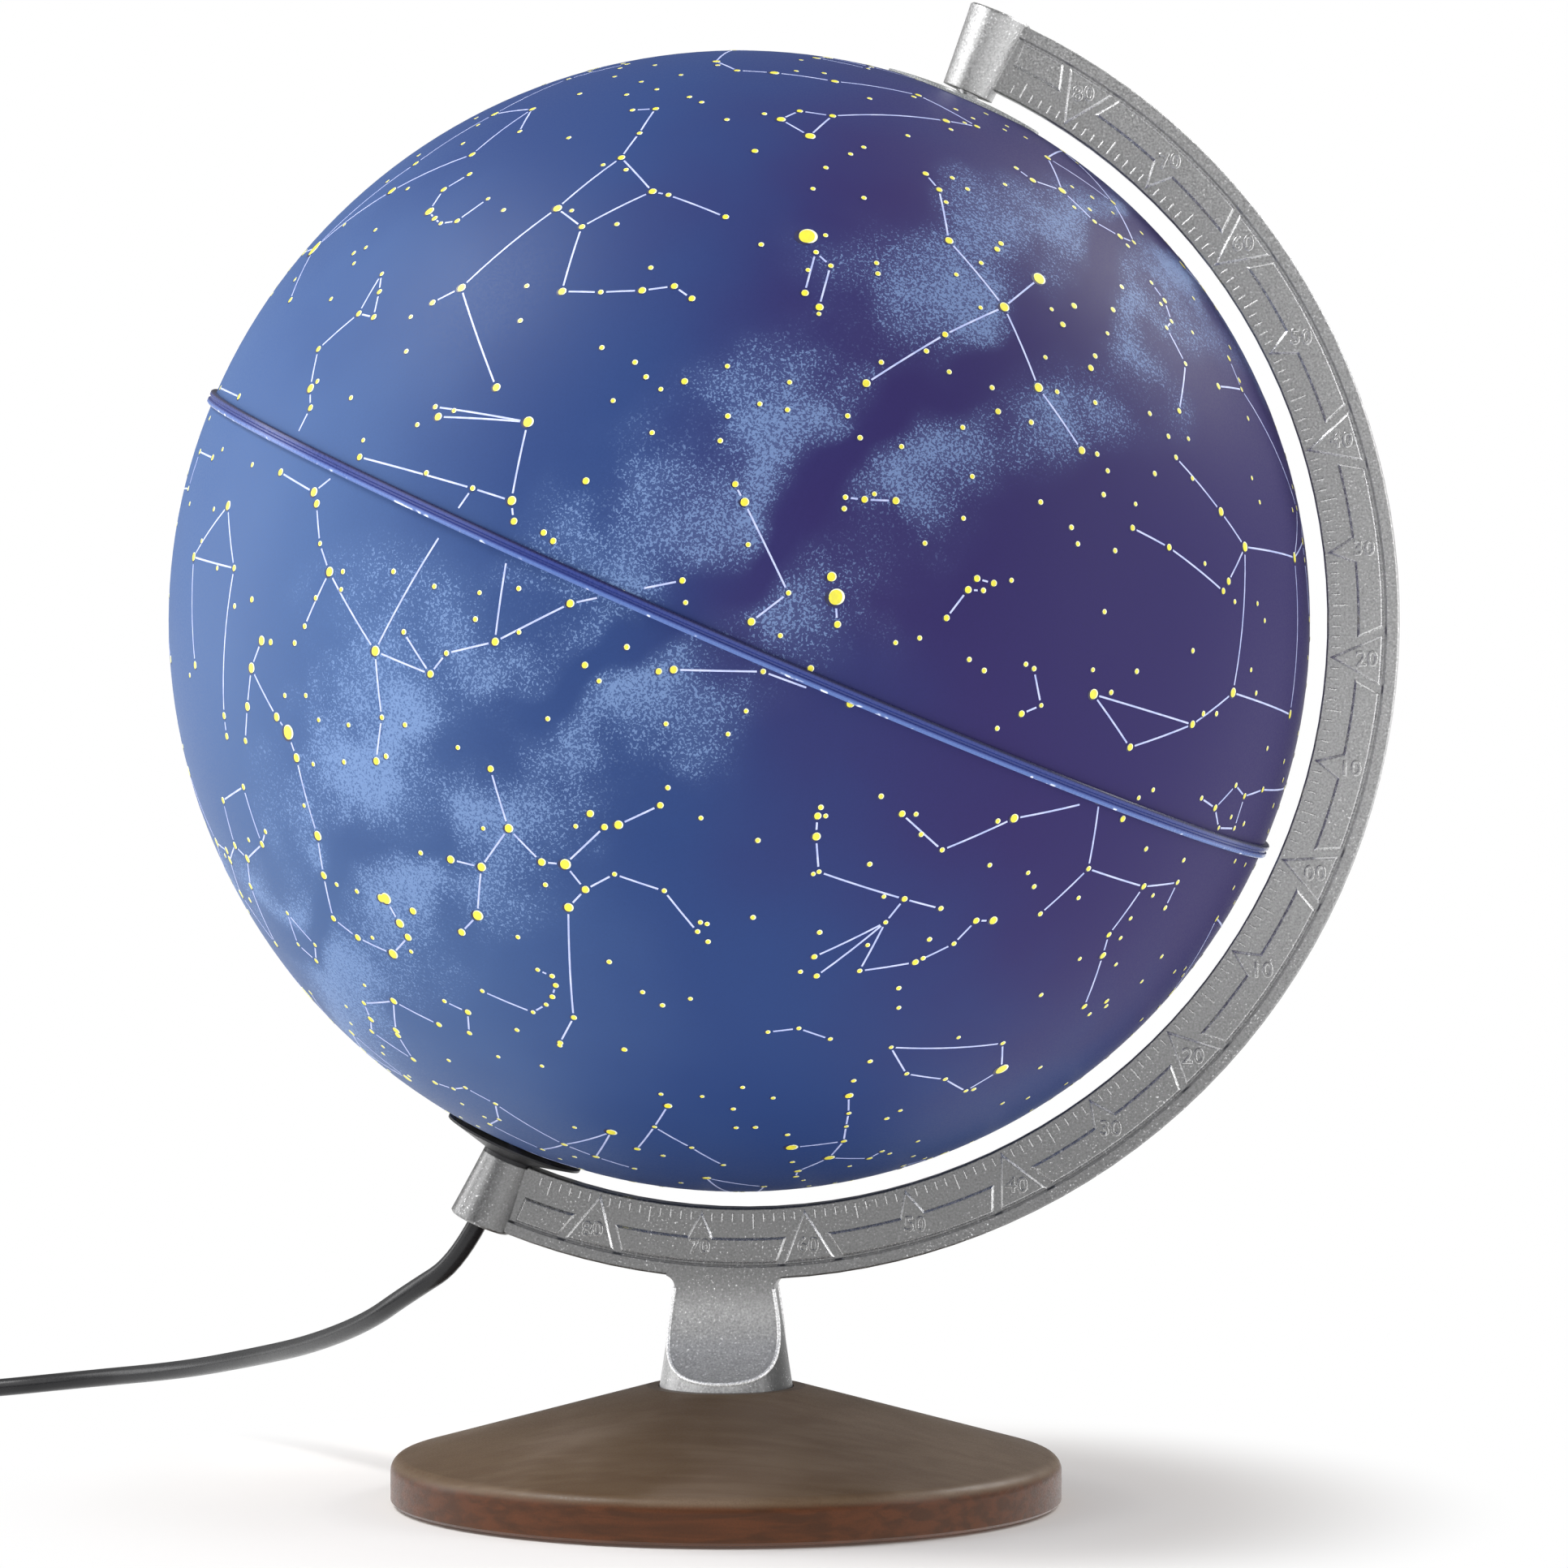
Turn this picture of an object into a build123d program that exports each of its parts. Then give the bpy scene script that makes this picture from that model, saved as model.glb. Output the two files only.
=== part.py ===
from build123d import *
import math
import os

# An illuminated celestial globe on a C-shaped cast meridian and a turned wooden base.
# Millimetres. +Z is up, and the origin is the centre of the face that rests on the table.
# The meridian lies in the XZ plane, and the north pole leans towards +X.

# ---- driving dimensions ----
GLOBE_R = 150.0  # outside radius of the sphere
GLOBE_WALL = 1.6
TILT = 23.5  # degrees between the globe's axis and the vertical
GLOBE_X = 3.5  # the globe's centre stands this far to +X of the base's centre
GLOBE_Z = 232.5

BASE_R = 88.5
BASE_WALL_TOP = 9.0  # height of the upright wall, where the rounded shoulder starts
BASE_SHOULDER_R = 4.0
BASE_FLAT_R = 21.0
BASE_FLAT_Z = 30.9
FELT_R = 82.0
FELT_T = 0.8
COUNTERBORE_R = 14.0
COUNTERBORE_TOP = 12.0
SPIGOT_R = 17.9  # recess in the base's flat that seats the neck
SPIGOT_DEPTH = 0.8
BOLT_CLEAR_R = 3.3
DOWEL_X = 10.0  # the dowel that keeps the neck from turning on the base
DOWEL_R = 2.0

RING_IN = 154.6
RING_OUT = 173.3
RING_HALF_T = 4.2
RIM_BAND = 3.7  # width of the raised band along the outer edge
WEB_HALF_T = 3.5
NECK_FOOT_R = 17.7
NECK_TOP_R = 13.75
NECK_TOP_Z = 56.8
SCOOP_R = 19.0
SCOOP_Z = 51.0

TUBE_INNER_R = 6.9  # the polar tubes taper outwards from this radius
TUBE_OUTER_R = 8.5
TUBE_END = 173.8  # distance of each tube's outer end from the globe's centre
NORTH_TUBE_START = 151.5
SOUTH_TUBE_START = 155.3

PIN_R = 3.0
PIN_TIP_R = 2.5
SET_SCREW_R = 1.5
SET_SCREW_AT = 163.0  # distance of the pin's set screw from the globe's centre
RUNNING = 0.05  # radial clearance of the running fits
FREE = 0.1  # radial clearance where parts are only put together

SOUTH_HOLE_R = 17.5
NORTH_HOLE_R = 5.5
HUB_R = 14.5  # the lamp flange's hub, on which the globe's south bush turns
NIPPLE_R = 5.0
NIPPLE_BORE_R = 3.6
BULB_R = 12.5  # a slim tubular lamp, which passes through the hub's opening

CORD_R = 2.6
COIL_MEAN_R = 30.8
COIL_COLUMNS = 4
COIL_LAYERS = 2
CORD_SIDE_X = -290.0  # line on which the switch, the coil's outer turns and the plug lie
COIL_OUTER_TURN = COIL_MEAN_R + (COIL_COLUMNS - 1) * CORD_R
COIL_CENTRE = (CORD_SIDE_X + COIL_OUTER_TURN, 22.0)
SWITCH_L = 62.0
SWITCH_W = 27.0
SWITCH_H = 16.0
SWITCH_START_Y = 118.0  # where the lead enters the switch
PLUG_MOUTH_Y = -14.0  # where the tail enters the plug's strain relief

tilt = math.radians(TILT)
CENTRE = Vector(GLOBE_X, 0, GLOBE_Z)
UP_AXIS = Vector(math.sin(tilt), 0, math.cos(tilt))
ACROSS = Vector(math.cos(tilt), 0, -math.sin(tilt))
POLAR = Plane(origin=CENTRE, x_dir=ACROSS, z_dir=UP_AXIS)  # local Z is the globe's axis

os.makedirs("parts", exist_ok=True)


def save(name, shape):
    """Writes one piece as a STEP file named after it."""
    shape.label = name
    export_step(shape, f"parts/{name}.step")


def turned(outline):
    """Solid of revolution about Z from (radius, height) points."""
    points = [(r, 0, z) for r, z in outline]
    return revolve(make_face(Polyline(*points, close=True)), Axis.Z)


def disc(radius, low, high):
    """Plain cylinder about Z between two heights."""
    return Pos(0, 0, (low + high) / 2) * Cylinder(radius, high - low)


def sphere_z(radius, at):
    """Height of a sphere's surface at a distance from the axis."""
    return math.sqrt(radius**2 - at**2)


def on_axis(shape):
    """Puts a piece drawn about Z onto the globe's tilted axis."""
    return POLAR * shape


def south(shape):
    """The same, for a piece drawn with +Z pointing out of the south pole."""
    return POLAR * Rot(180, 0, 0) * shape


# ---- globe: two printed half shells, the band that joins them, and the polar bushes ----
def half_shell(hole_r):
    """Half sphere, open at the equator, with a round hole at its pole."""
    inner = GLOBE_R - GLOBE_WALL
    edge = 0.8
    top_out, top_in = sphere_z(GLOBE_R, hole_r), sphere_z(inner, hole_r)
    foot_out, foot_in = sphere_z(GLOBE_R, edge), sphere_z(inner, edge)
    middle = math.sqrt(0.5)
    outside = ThreePointArc(
        (foot_out, 0, edge), (GLOBE_R * middle, 0, GLOBE_R * middle), (hole_r, 0, top_out)
    )
    inside = ThreePointArc((hole_r, 0, top_in), (inner * middle, 0, inner * middle), (foot_in, 0, edge))
    wall = Line(outside @ 1, inside @ 0)
    rim = Line(inside @ 1, outside @ 0)
    return revolve(make_face(Wire([outside, wall, inside, rim])), Axis.Z)


def equator_band():
    """H-section ring: a web between the shells, a double bead outside, a flange inside."""
    half_web, half_bead, half_flange = 0.75, 1.7, 6.0
    bead_in, bead_out, groove = 150.03, 151.4, 151.0
    flange_in, flange_out = 146.4, 148.2
    half = [
        (flange_in, half_flange),
        (flange_out, half_flange),
        (flange_out, half_web),
        (bead_in, half_web),
        (bead_in, half_bead),
        (bead_out - 0.3, half_bead),
        (bead_out, half_bead - 0.3),
        (bead_out, 0.5),
        (groove, 0.2),
    ]
    return turned(half + [(r, -z) for r, z in reversed(half)])


def north_bush():
    """Flanged bush glued inside the north shell, with a blind bore for the pivot pin."""
    top, seat, foot = 149.8, 147.85, 137.0
    shape = turned(
        [
            (0, foot),
            (5.4, foot),
            (5.4, seat - 2.5),
            (12, seat - 2.5),
            (12, seat),
            (5.4, seat),
            (5.4, top),
            (0, top),
        ]
    )
    return shape - disc(PIN_TIP_R + RUNNING, 139.5, top + 1)


def north_pole_cap():
    """Thin clear disc, curved like the sphere that it lies on."""
    low, high, hole, edge = GLOBE_R + 0.04, GLOBE_R + 0.64, 4.0, 21.4
    half = (hole + edge) / 2
    top = ThreePointArc(
        (hole, 0, sphere_z(high, hole)), (half, 0, sphere_z(high, half)), (edge, 0, sphere_z(high, edge))
    )
    under = ThreePointArc(
        (edge, 0, sphere_z(low, edge)), (half, 0, sphere_z(low, half)), (hole, 0, sphere_z(low, hole))
    )
    outline = Wire([top, Line(top @ 1, under @ 0), under, Line(under @ 1, top @ 0)])
    return revolve(make_face(outline), Axis.Z)


def south_bush():
    """Flanged ring inside the south shell, which turns on the lamp flange's hub."""
    bore, spigot, flange, sleeve = HUB_R + RUNNING + 0.03, SOUTH_HOLE_R - FREE, 24.0, 16.8
    foot, flange_low, seat, top = 139.0, 143.9, 146.4, 148.9
    return turned(
        [
            (bore, foot),
            (sleeve, foot),
            (sleeve, flange_low),
            (flange, flange_low),
            (flange, seat),
            (spigot, seat),
            (spigot, top),
            (bore, top),
        ]
    )


# ---- stand: base, meridian casting and its fastenings ----
def base_disc():
    """Turned wooden foot: a low cone with a rounded shoulder over an upright wall."""
    bottom, edge = FELT_T, 0.8
    slope = math.atan2(BASE_FLAT_Z - 12.7, 86.5 - BASE_FLAT_R)
    shoulder = (BASE_R - BASE_SHOULDER_R, BASE_WALL_TOP)
    peak = (
        shoulder[0] + BASE_SHOULDER_R * math.sin(slope),
        shoulder[1] + BASE_SHOULDER_R * math.cos(slope),
    )
    middle = (math.pi / 2 - slope) / 2
    half_way = (
        shoulder[0] + BASE_SHOULDER_R * math.cos(middle),
        shoulder[1] + BASE_SHOULDER_R * math.sin(middle),
    )
    flat_z = peak[1] + (peak[0] - BASE_FLAT_R) * math.tan(slope)
    arc = ThreePointArc((BASE_R, 0, BASE_WALL_TOP), (half_way[0], 0, half_way[1]), (peak[0], 0, peak[1]))
    lower = Polyline(
        (0, 0, flat_z), (0, 0, bottom), (BASE_R - edge, 0, bottom), (BASE_R, 0, bottom + edge), arc @ 0
    )
    upper = Polyline(arc @ 1, (BASE_FLAT_R, 0, flat_z), (0, 0, flat_z))
    shape = revolve(make_face(Wire([*lower.edges(), arc, *upper.edges()])), Axis.Z)
    shape -= disc(COUNTERBORE_R, bottom - 1, COUNTERBORE_TOP)
    shape -= disc(BOLT_CLEAR_R, 0, BASE_FLAT_Z + 2)
    shape -= disc(SPIGOT_R, flat_z - SPIGOT_DEPTH, flat_z + 2)
    shape -= Pos(DOWEL_X, 0, 0) * disc(DOWEL_R + RUNNING, 23.5, BASE_FLAT_Z + 2)
    return shape


def ring():
    """Half of a flat ring in the XZ plane, with a raised band along its outer edge."""
    web_out, soft = RING_OUT - RIM_BAND, 0.4
    half = [
        (RING_IN, WEB_HALF_T - soft),
        (RING_IN + soft, WEB_HALF_T),
        (web_out, WEB_HALF_T),
        (web_out + 0.5, RING_HALF_T),
        (RING_OUT - soft, RING_HALF_T),
        (RING_OUT, RING_HALF_T - soft),
    ]
    outline = half + [(r, -y) for r, y in reversed(half)]
    section = make_face(Polyline(*[(r, y, 0) for r, y in outline], close=True))
    whole = Pos(*CENTRE) * revolve(section, Axis.Y)
    side = RING_OUT + 10
    return whole & (POLAR * Pos(side / 2, 0, 0) * Box(side, 20, 2 * side))


def neck():
    """Round tapered neck, scooped front and back down to the ring's thickness."""
    foot_z = BASE_FLAT_Z - SPIGOT_DEPTH + 0.05
    flare = ThreePointArc((NECK_TOP_R, 0, NECK_TOP_Z), (14.2, 0, 58.6), (15.9, 0, 60.0))
    foot = Polyline((0, 0, 64), (0, 0, foot_z), (NECK_FOOT_R, 0, foot_z), flare @ 0)
    top = Polyline(flare @ 1, (15.9, 0, 64), (0, 0, 64))
    shape = revolve(make_face(Wire([*foot.edges(), flare, *top.edges()])), Axis.Z)
    out = RING_HALF_T + SCOOP_R
    for side in (-1, 1):
        shape -= Pos(0, side * out, SCOOP_Z) * Rot(0, 90, 0) * Cylinder(SCOOP_R, 60)
        shape -= Pos(0, side * out, SCOOP_Z + 20) * Box(60, 2 * SCOOP_R, 40)
    inside_ring = RING_OUT - 2
    return shape - Pos(*CENTRE) * Rot(90, 0, 0) * Cylinder(inside_ring, 60)


def polar_tube(start):
    """Solid tapered tube about Z, with softened edges at its outer end."""
    soft = 0.5
    return turned(
        [
            (0, start),
            (TUBE_INNER_R, start),
            (TUBE_OUTER_R, TUBE_END - soft),
            (TUBE_OUTER_R - soft, TUBE_END),
            (0, TUBE_END),
        ]
    )


def meridian():
    """One casting: the ring, the neck below it and the two polar tubes."""
    shape = ring() + neck() + on_axis(polar_tube(NORTH_TUBE_START)) + south(polar_tube(SOUTH_TUBE_START))
    shape -= on_axis(disc(PIN_R + RUNNING, NORTH_TUBE_START - 2, 170.0))
    shape -= on_axis(disc(6.4, 171.3, TUBE_END + 1))
    shape -= on_axis(Pos(0, 5, SET_SCREW_AT) * Rot(90, 0, 0) * Cylinder(SET_SCREW_R + RUNNING, 10))
    shape -= south(disc(NIPPLE_R + RUNNING, SOUTH_TUBE_START - 2, TUBE_END + 1))
    shape -= south(disc(TUBE_INNER_R + 0.3, SOUTH_TUBE_START - 2, SOUTH_TUBE_START))
    shape -= disc(PIN_R + RUNNING, 0, 47.0)
    return shape - Pos(DOWEL_X, 0, 0) * disc(DOWEL_R + RUNNING, 0, 38.5)


def pivot_pin():
    """Steel pin in the north tube, whose thinner tip is the globe's upper bearing."""
    return turned(
        [
            (0, 140.0),
            (PIN_TIP_R - 0.5, 140.0),
            (PIN_TIP_R, 140.5),
            (PIN_TIP_R, 151.0),
            (PIN_R, 151.0),
            (PIN_R, 169.8),
            (0, 169.8),
        ]
    )


def pivot_cap():
    """Plug that closes the north tube's outer end."""
    return turned([(0, 171.4), (6.35, 171.4), (6.35, 173.5), (5.6, 174.0), (0, 174.2)])


# ---- lamp: flange, nipple, holder and bulb, all about the axis, +Z out of the south pole ----
def lampholder_flange():
    """Dish under the sphere, with a hub for the globe's bush and a collar into the tube."""
    wall, hub_in, rim_r, rim_at = 1.6, 12.9, 18.9, 150.3
    return turned(
        [
            (NIPPLE_R + RUNNING, 149.3),
            (hub_in, 149.3),
            (hub_in, 139.5),
            (HUB_R - 0.4, 139.5),
            (HUB_R, 139.9),
            (HUB_R, 149.3),
            (rim_r, rim_at),
            (rim_r, rim_at + 0.6),
            (9.5, rim_at + 2 * wall),
            (TUBE_INNER_R - 0.05, 154.3),
            (TUBE_INNER_R - 0.05, 155.25),
            (NIPPLE_R + RUNNING, 155.25),
        ]
    )


def lampholder_body():
    """Moulded holder, hollow for the threaded shell."""
    return turned(
        [
            (NIPPLE_R + RUNNING, 145.9),
            (8.5, 145.9),
            (12.0, 141.0),
            (13.4, 138.5),
            (13.4, 100.0),
            (12.4, 99.0),
            (7.75, 99.0),
            (7.75, 126.5),
            (NIPPLE_R + RUNNING, 126.5),
        ]
    )


def bulb_glass():
    """Thin tubular bulb with a domed end."""
    neck_r, neck_z, wall = 6.3, 107.4, 0.7
    dome_z = 67.5 + BULB_R

    def skin(radius, neck, end):
        dome = ThreePointArc(
            (0, 0, dome_z - radius),
            (radius * math.sqrt(0.5), 0, dome_z - radius * math.sqrt(0.5)),
            (radius, 0, dome_z),
        )
        side = Polyline(dome @ 1, (radius, 0, 91), (neck, 0, 98.4), (neck, 0, end), (0, 0, end))
        close = Line((0, 0, end), dome @ 0)
        return revolve(make_face(Wire([dome, *side.edges(), close])), Axis.Z)

    return skin(BULB_R, neck_r, neck_z) - skin(BULB_R - wall, neck_r - wall, neck_z + 1)


def bulb_filament():
    """Two lead wires and the filament's arc between them."""
    support = [(-4, 0, 104.6), (-4, 0, 86), (4, 0, 86), (4, 0, 104.6)]
    path = FilletPolyline(*support, radius=3)
    profile = Plane(path @ 0, z_dir=path % 0) * Circle(0.35)
    return sweep(profile, path)


def lamp_wires():
    """The cord's two cores, from the end of its sheath to the holder's contacts."""
    wires = []
    for side in (-1, 1):
        wires.append(Pos(side * 1.1, 0, 0) * disc(0.9, 127.2, 160.0))
    return Compound(wires)


# ---- cord, in-line switch and plug ----
def south_point(distance):
    """Point on the axis, this far from the globe's centre towards the south tube."""
    return tuple(CENTRE - UP_AXIS * distance)


SWITCH_CORD_Z = 6.4  # height of the cord's centre line at the switch's ends
PLUG_CORD_Z = 7.0
LEAD_ROUTE = [
    south_point(160.5),
    south_point(184.0),
    (-87.8, 11.7, 52.5),
    (-101.3, 28.3, 43.3),
    (-123.2, 61.0, 33.4),
    (-146.8, 98.6, 25.5),
    (-174.8, 133.7, 17.5),
    (-210.2, 161.8, 11.2),
    (-244.0, 172.0, 6.4),
    (-274.0, 166.0, 4.8),
    (CORD_SIDE_X, 145.0, SWITCH_CORD_Z),
    (CORD_SIDE_X, SWITCH_START_Y, SWITCH_CORD_Z),
]


def corner_radii(route):
    """Radius at each inner point: 0.45 of the shorter run over the tangent of half the turn."""
    points = [Vector(*p) for p in route]
    radii = []
    for before, here, after in zip(points, points[1:], points[2:]):
        first, second = here - before, after - here
        half_turn = math.radians(first.get_angle(second)) / 2
        radii.append(0.45 * min(first.length, second.length) / math.tan(half_turn))
    return radii


def cord_lead():
    """The lead from the lamp's nipple to the in-line switch."""
    radii = corner_radii(LEAD_ROUTE)
    print("lead radii", [round(r, 1) for r in radii])
    path = FilletPolyline(*LEAD_ROUTE, radius=radii)
    shape = sweep(Plane(path @ 0, z_dir=path % 0) * Circle(CORD_R), path)
    share = shape.volume / (math.pi * CORD_R**2 * path.length)
    print("lead length", round(path.length, 1), "volume over section times length", round(share, 4))
    return shape, path.length


def straight_cord(high_y, low_y, height):
    """A short straight stretch of the cord along Y."""
    middle = Pos(CORD_SIDE_X, (high_y + low_y) / 2, height)
    return middle * Rot(90, 0, 0) * Cylinder(CORD_R, high_y - low_y)


def cord_coil():
    """Closed ring with the outer shape of the cord's put-away turns."""
    half_w = COIL_COLUMNS * CORD_R
    height = COIL_LAYERS * 2 * CORD_R + 0.2
    low_r, high_r = COIL_MEAN_R - half_w, COIL_MEAN_R + half_w
    section = Pos((low_r + high_r) / 2, height / 2) * RectangleRounded(high_r - low_r, height, CORD_R)
    shape = revolve(Plane.XZ * section, Axis.Z)
    return Pos(*COIL_CENTRE, 0) * shape


def switch_outline(shrink):
    """Rounded outline of the switch's housing, seen from above."""
    return RectangleRounded(SWITCH_W - 2 * shrink, SWITCH_L - 2 * shrink, 9 - shrink)


SWITCH_PLACE = Pos(CORD_SIDE_X, SWITCH_START_Y - SWITCH_L / 2, 0)
SWITCH_SPLIT = 8.0
SCREW_Y = 22.0  # distance of the switch's screws from its middle
ROCKER_L, ROCKER_W, ROCKER_PIVOT_Z = 20.0, 12.0, 12.0
ROCKER_REST = -8.0  # degrees: at rest the key is down on its off side, towards the lamp


def switch_shells():
    """The switch's lower and upper shells, hollow, with a hole for the rocker."""
    wall = 2.0
    lower = extrude(switch_outline(0), SWITCH_SPLIT) - Pos(0, 0, wall) * extrude(
        switch_outline(wall), SWITCH_SPLIT
    )
    upper = Pos(0, 0, SWITCH_SPLIT) * extrude(switch_outline(0), SWITCH_H - SWITCH_SPLIT)
    top_edges = upper.faces().sort_by(Axis.Z)[-1].edges()
    upper = fillet(top_edges, 1.8)
    upper -= Pos(0, 0, SWITCH_SPLIT - 1) * extrude(switch_outline(wall), SWITCH_H - SWITCH_SPLIT + 1 - wall)
    upper -= Pos(0, 0, SWITCH_H) * Box(ROCKER_W + 0.8, ROCKER_L + 0.8, 10)
    half = SWITCH_L / 2
    for side in (-1, 1):
        mouth = Pos(0, side * (half - 1), SWITCH_CORD_Z) * Rot(90, 0, 0) * Cylinder(CORD_R - 0.4, 6)
        lower -= mouth
        upper -= mouth
        screw = Pos(0, side * SCREW_Y, 0)
        lower += screw * disc(3.0, wall - 0.5, SWITCH_SPLIT)
        lower -= screw * disc(1.6, -1, SWITCH_SPLIT + 1)
        lower -= screw * disc(2.9, -1, 1.2)
        upper += screw * disc(3.0, SWITCH_SPLIT, SWITCH_H - wall + 0.5)
        upper -= screw * disc(1.1, SWITCH_SPLIT - 1, 13.0)
        ear = Pos(side * (ROCKER_W / 2 + 1.9), 0, ROCKER_PIVOT_Z + 0.9) * Box(2.2, 5, 5.4)
        upper += ear
        upper -= Pos(side * (ROCKER_W / 2 + 1.5), 0, ROCKER_PIVOT_Z) * Rot(0, 90, 0) * Cylinder(1.27, 3.2)
    return SWITCH_PLACE * lower, SWITCH_PLACE * upper


def switch_rocker():
    """Rocker key with a stub axle on each side."""
    top_z, crown_r = SWITCH_H + 1.6, 34.0
    block = Pos(0, 0, ROCKER_PIVOT_Z + 1.4) * Box(ROCKER_W, ROCKER_L - 1.6, 8.4)
    crown = Pos(0, 0, top_z + crown_r - 2.4) * Rot(0, 90, 0) * Cylinder(crown_r, ROCKER_W + 2)
    block -= crown
    axle = Pos(0, 0, ROCKER_PIVOT_Z) * Rot(0, 90, 0) * Cylinder(1.2, ROCKER_W + 4.4)
    key = Pos(0, 0, -ROCKER_PIVOT_Z) * (block + axle)
    return SWITCH_PLACE * Pos(0, 0, ROCKER_PIVOT_Z) * Rot(ROCKER_REST, 0, 0) * key


def switch_contacts():
    """Two brass strips on the lower shell's floor, and the through conductor beside them."""
    strips = [Pos(0, side * 9.5, 2.6) * Box(5, 9, 0.8) for side in (-1, 1)]
    strips.append(Pos(-6, 0, 2.6) * Box(1.6, 34, 0.8))
    return SWITCH_PLACE * Compound(strips)


def switch_screws():
    """The two screws that close the switch from below."""
    screws = []
    for side in (-1, 1):
        screw = disc(2.6, 0.3, 1.15) + disc(1.05, 1.0, 12.0)
        screws.append(SWITCH_PLACE * Pos(0, side * SCREW_Y, 0) * screw)
    return Compound(screws)


def plug():
    """Flat two-pin plug with a tapered strain relief, lying on the table."""
    relief_l, body_l, body_w, body_h = 17.0, 36.0, 35.3, 13.7
    pin_x, pin_r, pin_l = 9.3, 2.0, 23.0
    relief_end = PLUG_MOUTH_Y - relief_l
    body_end = relief_end - body_l
    middle_z = body_h / 2
    back = Plane((CORD_SIDE_X, relief_end + 4, middle_z), x_dir=(1, 0, 0), z_dir=(0, -1, 0))
    waist = Plane((CORD_SIDE_X, relief_end - 12, middle_z), x_dir=(1, 0, 0), z_dir=(0, -1, 0))
    front = Plane((CORD_SIDE_X, body_end, middle_z), x_dir=(1, 0, 0), z_dir=(0, -1, 0))
    body = loft(
        [
            back * RectangleRounded(15, 11, 5),
            waist * RectangleRounded(27, body_h, 5),
            front * RectangleRounded(body_w, body_h, 5),
        ],
        ruled=True,
    )
    cone_top = (PLUG_MOUTH_Y + relief_end) / 2 - 1
    relief = Pos(CORD_SIDE_X, cone_top, PLUG_CORD_Z) * Rot(-90, 0, 0) * Cone(5.0, 3.4, relief_l + 2)
    pins = []
    for side in (-1, 1):
        pin = Pos(side * pin_x, 0, 0) * Cylinder(pin_r, pin_l)
        pins.append(Pos(CORD_SIDE_X, body_end - 7.5, middle_z) * Rot(90, 0, 0) * pin)
        socket = Rot(90, 0, 0) * Cylinder(pin_r, 4.0)
        body -= Pos(CORD_SIDE_X + side * pin_x, body_end + 2, middle_z) * socket
    return body + relief, Compound(pins)


def build_globe():
    save("north_hemisphere", on_axis(half_shell(NORTH_HOLE_R)))
    save("south_hemisphere", south(half_shell(SOUTH_HOLE_R)))
    save("equator_band", on_axis(equator_band()))
    save("north_bush", on_axis(north_bush()))
    save("north_pole_cap", on_axis(north_pole_cap()))
    save("south_bush", south(south_bush()))


def build_stand():
    save("base_disc", base_disc())
    save("base_felt", disc(FELT_R, 0, FELT_T))
    save("base_washer", disc(12, COUNTERBORE_TOP - 1.6, COUNTERBORE_TOP) - disc(BOLT_CLEAR_R, 0, 20))
    head = disc(5.0, 4.4, COUNTERBORE_TOP - 1.6) - disc(2.5, 4.0, 8.0)
    save("base_bolt", head + disc(PIN_R, COUNTERBORE_TOP - 1.7, 46.0))
    save("locating_dowel", Pos(DOWEL_X, 0, 0) * disc(DOWEL_R, 23.8, 38.2))
    save("meridian", meridian())
    save("pivot_pin", on_axis(pivot_pin()))
    save("pivot_set_screw", on_axis(Pos(0, 5.7, SET_SCREW_AT) * Rot(90, 0, 0) * Cylinder(SET_SCREW_R, 5.0)))
    save("pivot_cap", on_axis(pivot_cap()))


def build_lamp():
    save("lampholder_flange", south(lampholder_flange()))
    save("stem_nipple", south(disc(NIPPLE_R, 130.0, 164.0) - disc(NIPPLE_BORE_R, 129, 165)))
    hexagon = extrude(RegularPolygon(8.0, 6), 2.9) - disc(NIPPLE_R + RUNNING, -1, 4)
    save("stem_nut", south(Pos(0, 0, 146.3) * hexagon))
    save("cord_grommet", south(disc(NIPPLE_R, 166.0, 173.0) - disc(CORD_R + 0.02, 165, 174)))
    save("lampholder_body", south(lampholder_body()))
    save("lampholder_shell", south(disc(7.65, 100.5, 122.5) - disc(7.15, 100, 123)))
    contact = Pos(0, 0, 125.6) * Box(9, 4, 1.2)
    save("lampholder_contact", south(contact))
    cap = turned([(0, 121.5), (6.6, 121.5), (6.6, 107.6), (6.95, 107.6), (6.95, 122.2), (3, 124.6), (0, 124.9)])
    save("bulb_cap", south(cap))
    save("bulb_glass", south(bulb_glass()))
    save("bulb_stem", south(turned([(0, 104.6), (4.9, 104.6), (4.9, 106.8), (0, 106.8)])))
    save("bulb_filament", south(bulb_filament()))
    save("lamp_wires", south(lamp_wires()))


def build_cord():
    coil = cord_coil()
    lead, lead_length = cord_lead()
    save("cord_lead", lead)
    switch_end = SWITCH_START_Y - SWITCH_L
    centre_y, into_coil = COIL_CENTRE[1], 8.0
    link = straight_cord(switch_end, centre_y + into_coil, SWITCH_CORD_Z) - coil
    tail = straight_cord(centre_y - into_coil, PLUG_MOUTH_Y, PLUG_CORD_Z) - coil
    save("cord_link", link)
    save("cord_coil", coil)
    save("cord_tail", tail)
    lower, upper = switch_shells()
    save("switch_lower", lower)
    save("switch_upper", upper)
    save("switch_rocker", switch_rocker())
    save("switch_contacts", switch_contacts())
    save("switch_screws", switch_screws())
    body, pins = plug()
    save("plug_body", body)
    save("plug_pins", pins)
    # The turns run inwards along the table, once round the inside, and outwards on top.
    turns = COIL_COLUMNS * COIL_LAYERS - 1
    inner_turn = 2 * COIL_MEAN_R - COIL_OUTER_TURN
    coiled = 2 * math.pi * ((turns - 1) * COIL_MEAN_R + inner_turn)
    straight = SWITCH_START_Y - PLUG_MOUTH_Y
    print("cord length about", round(lead_length + straight + coiled, 1), "with", turns, "turns")


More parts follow.
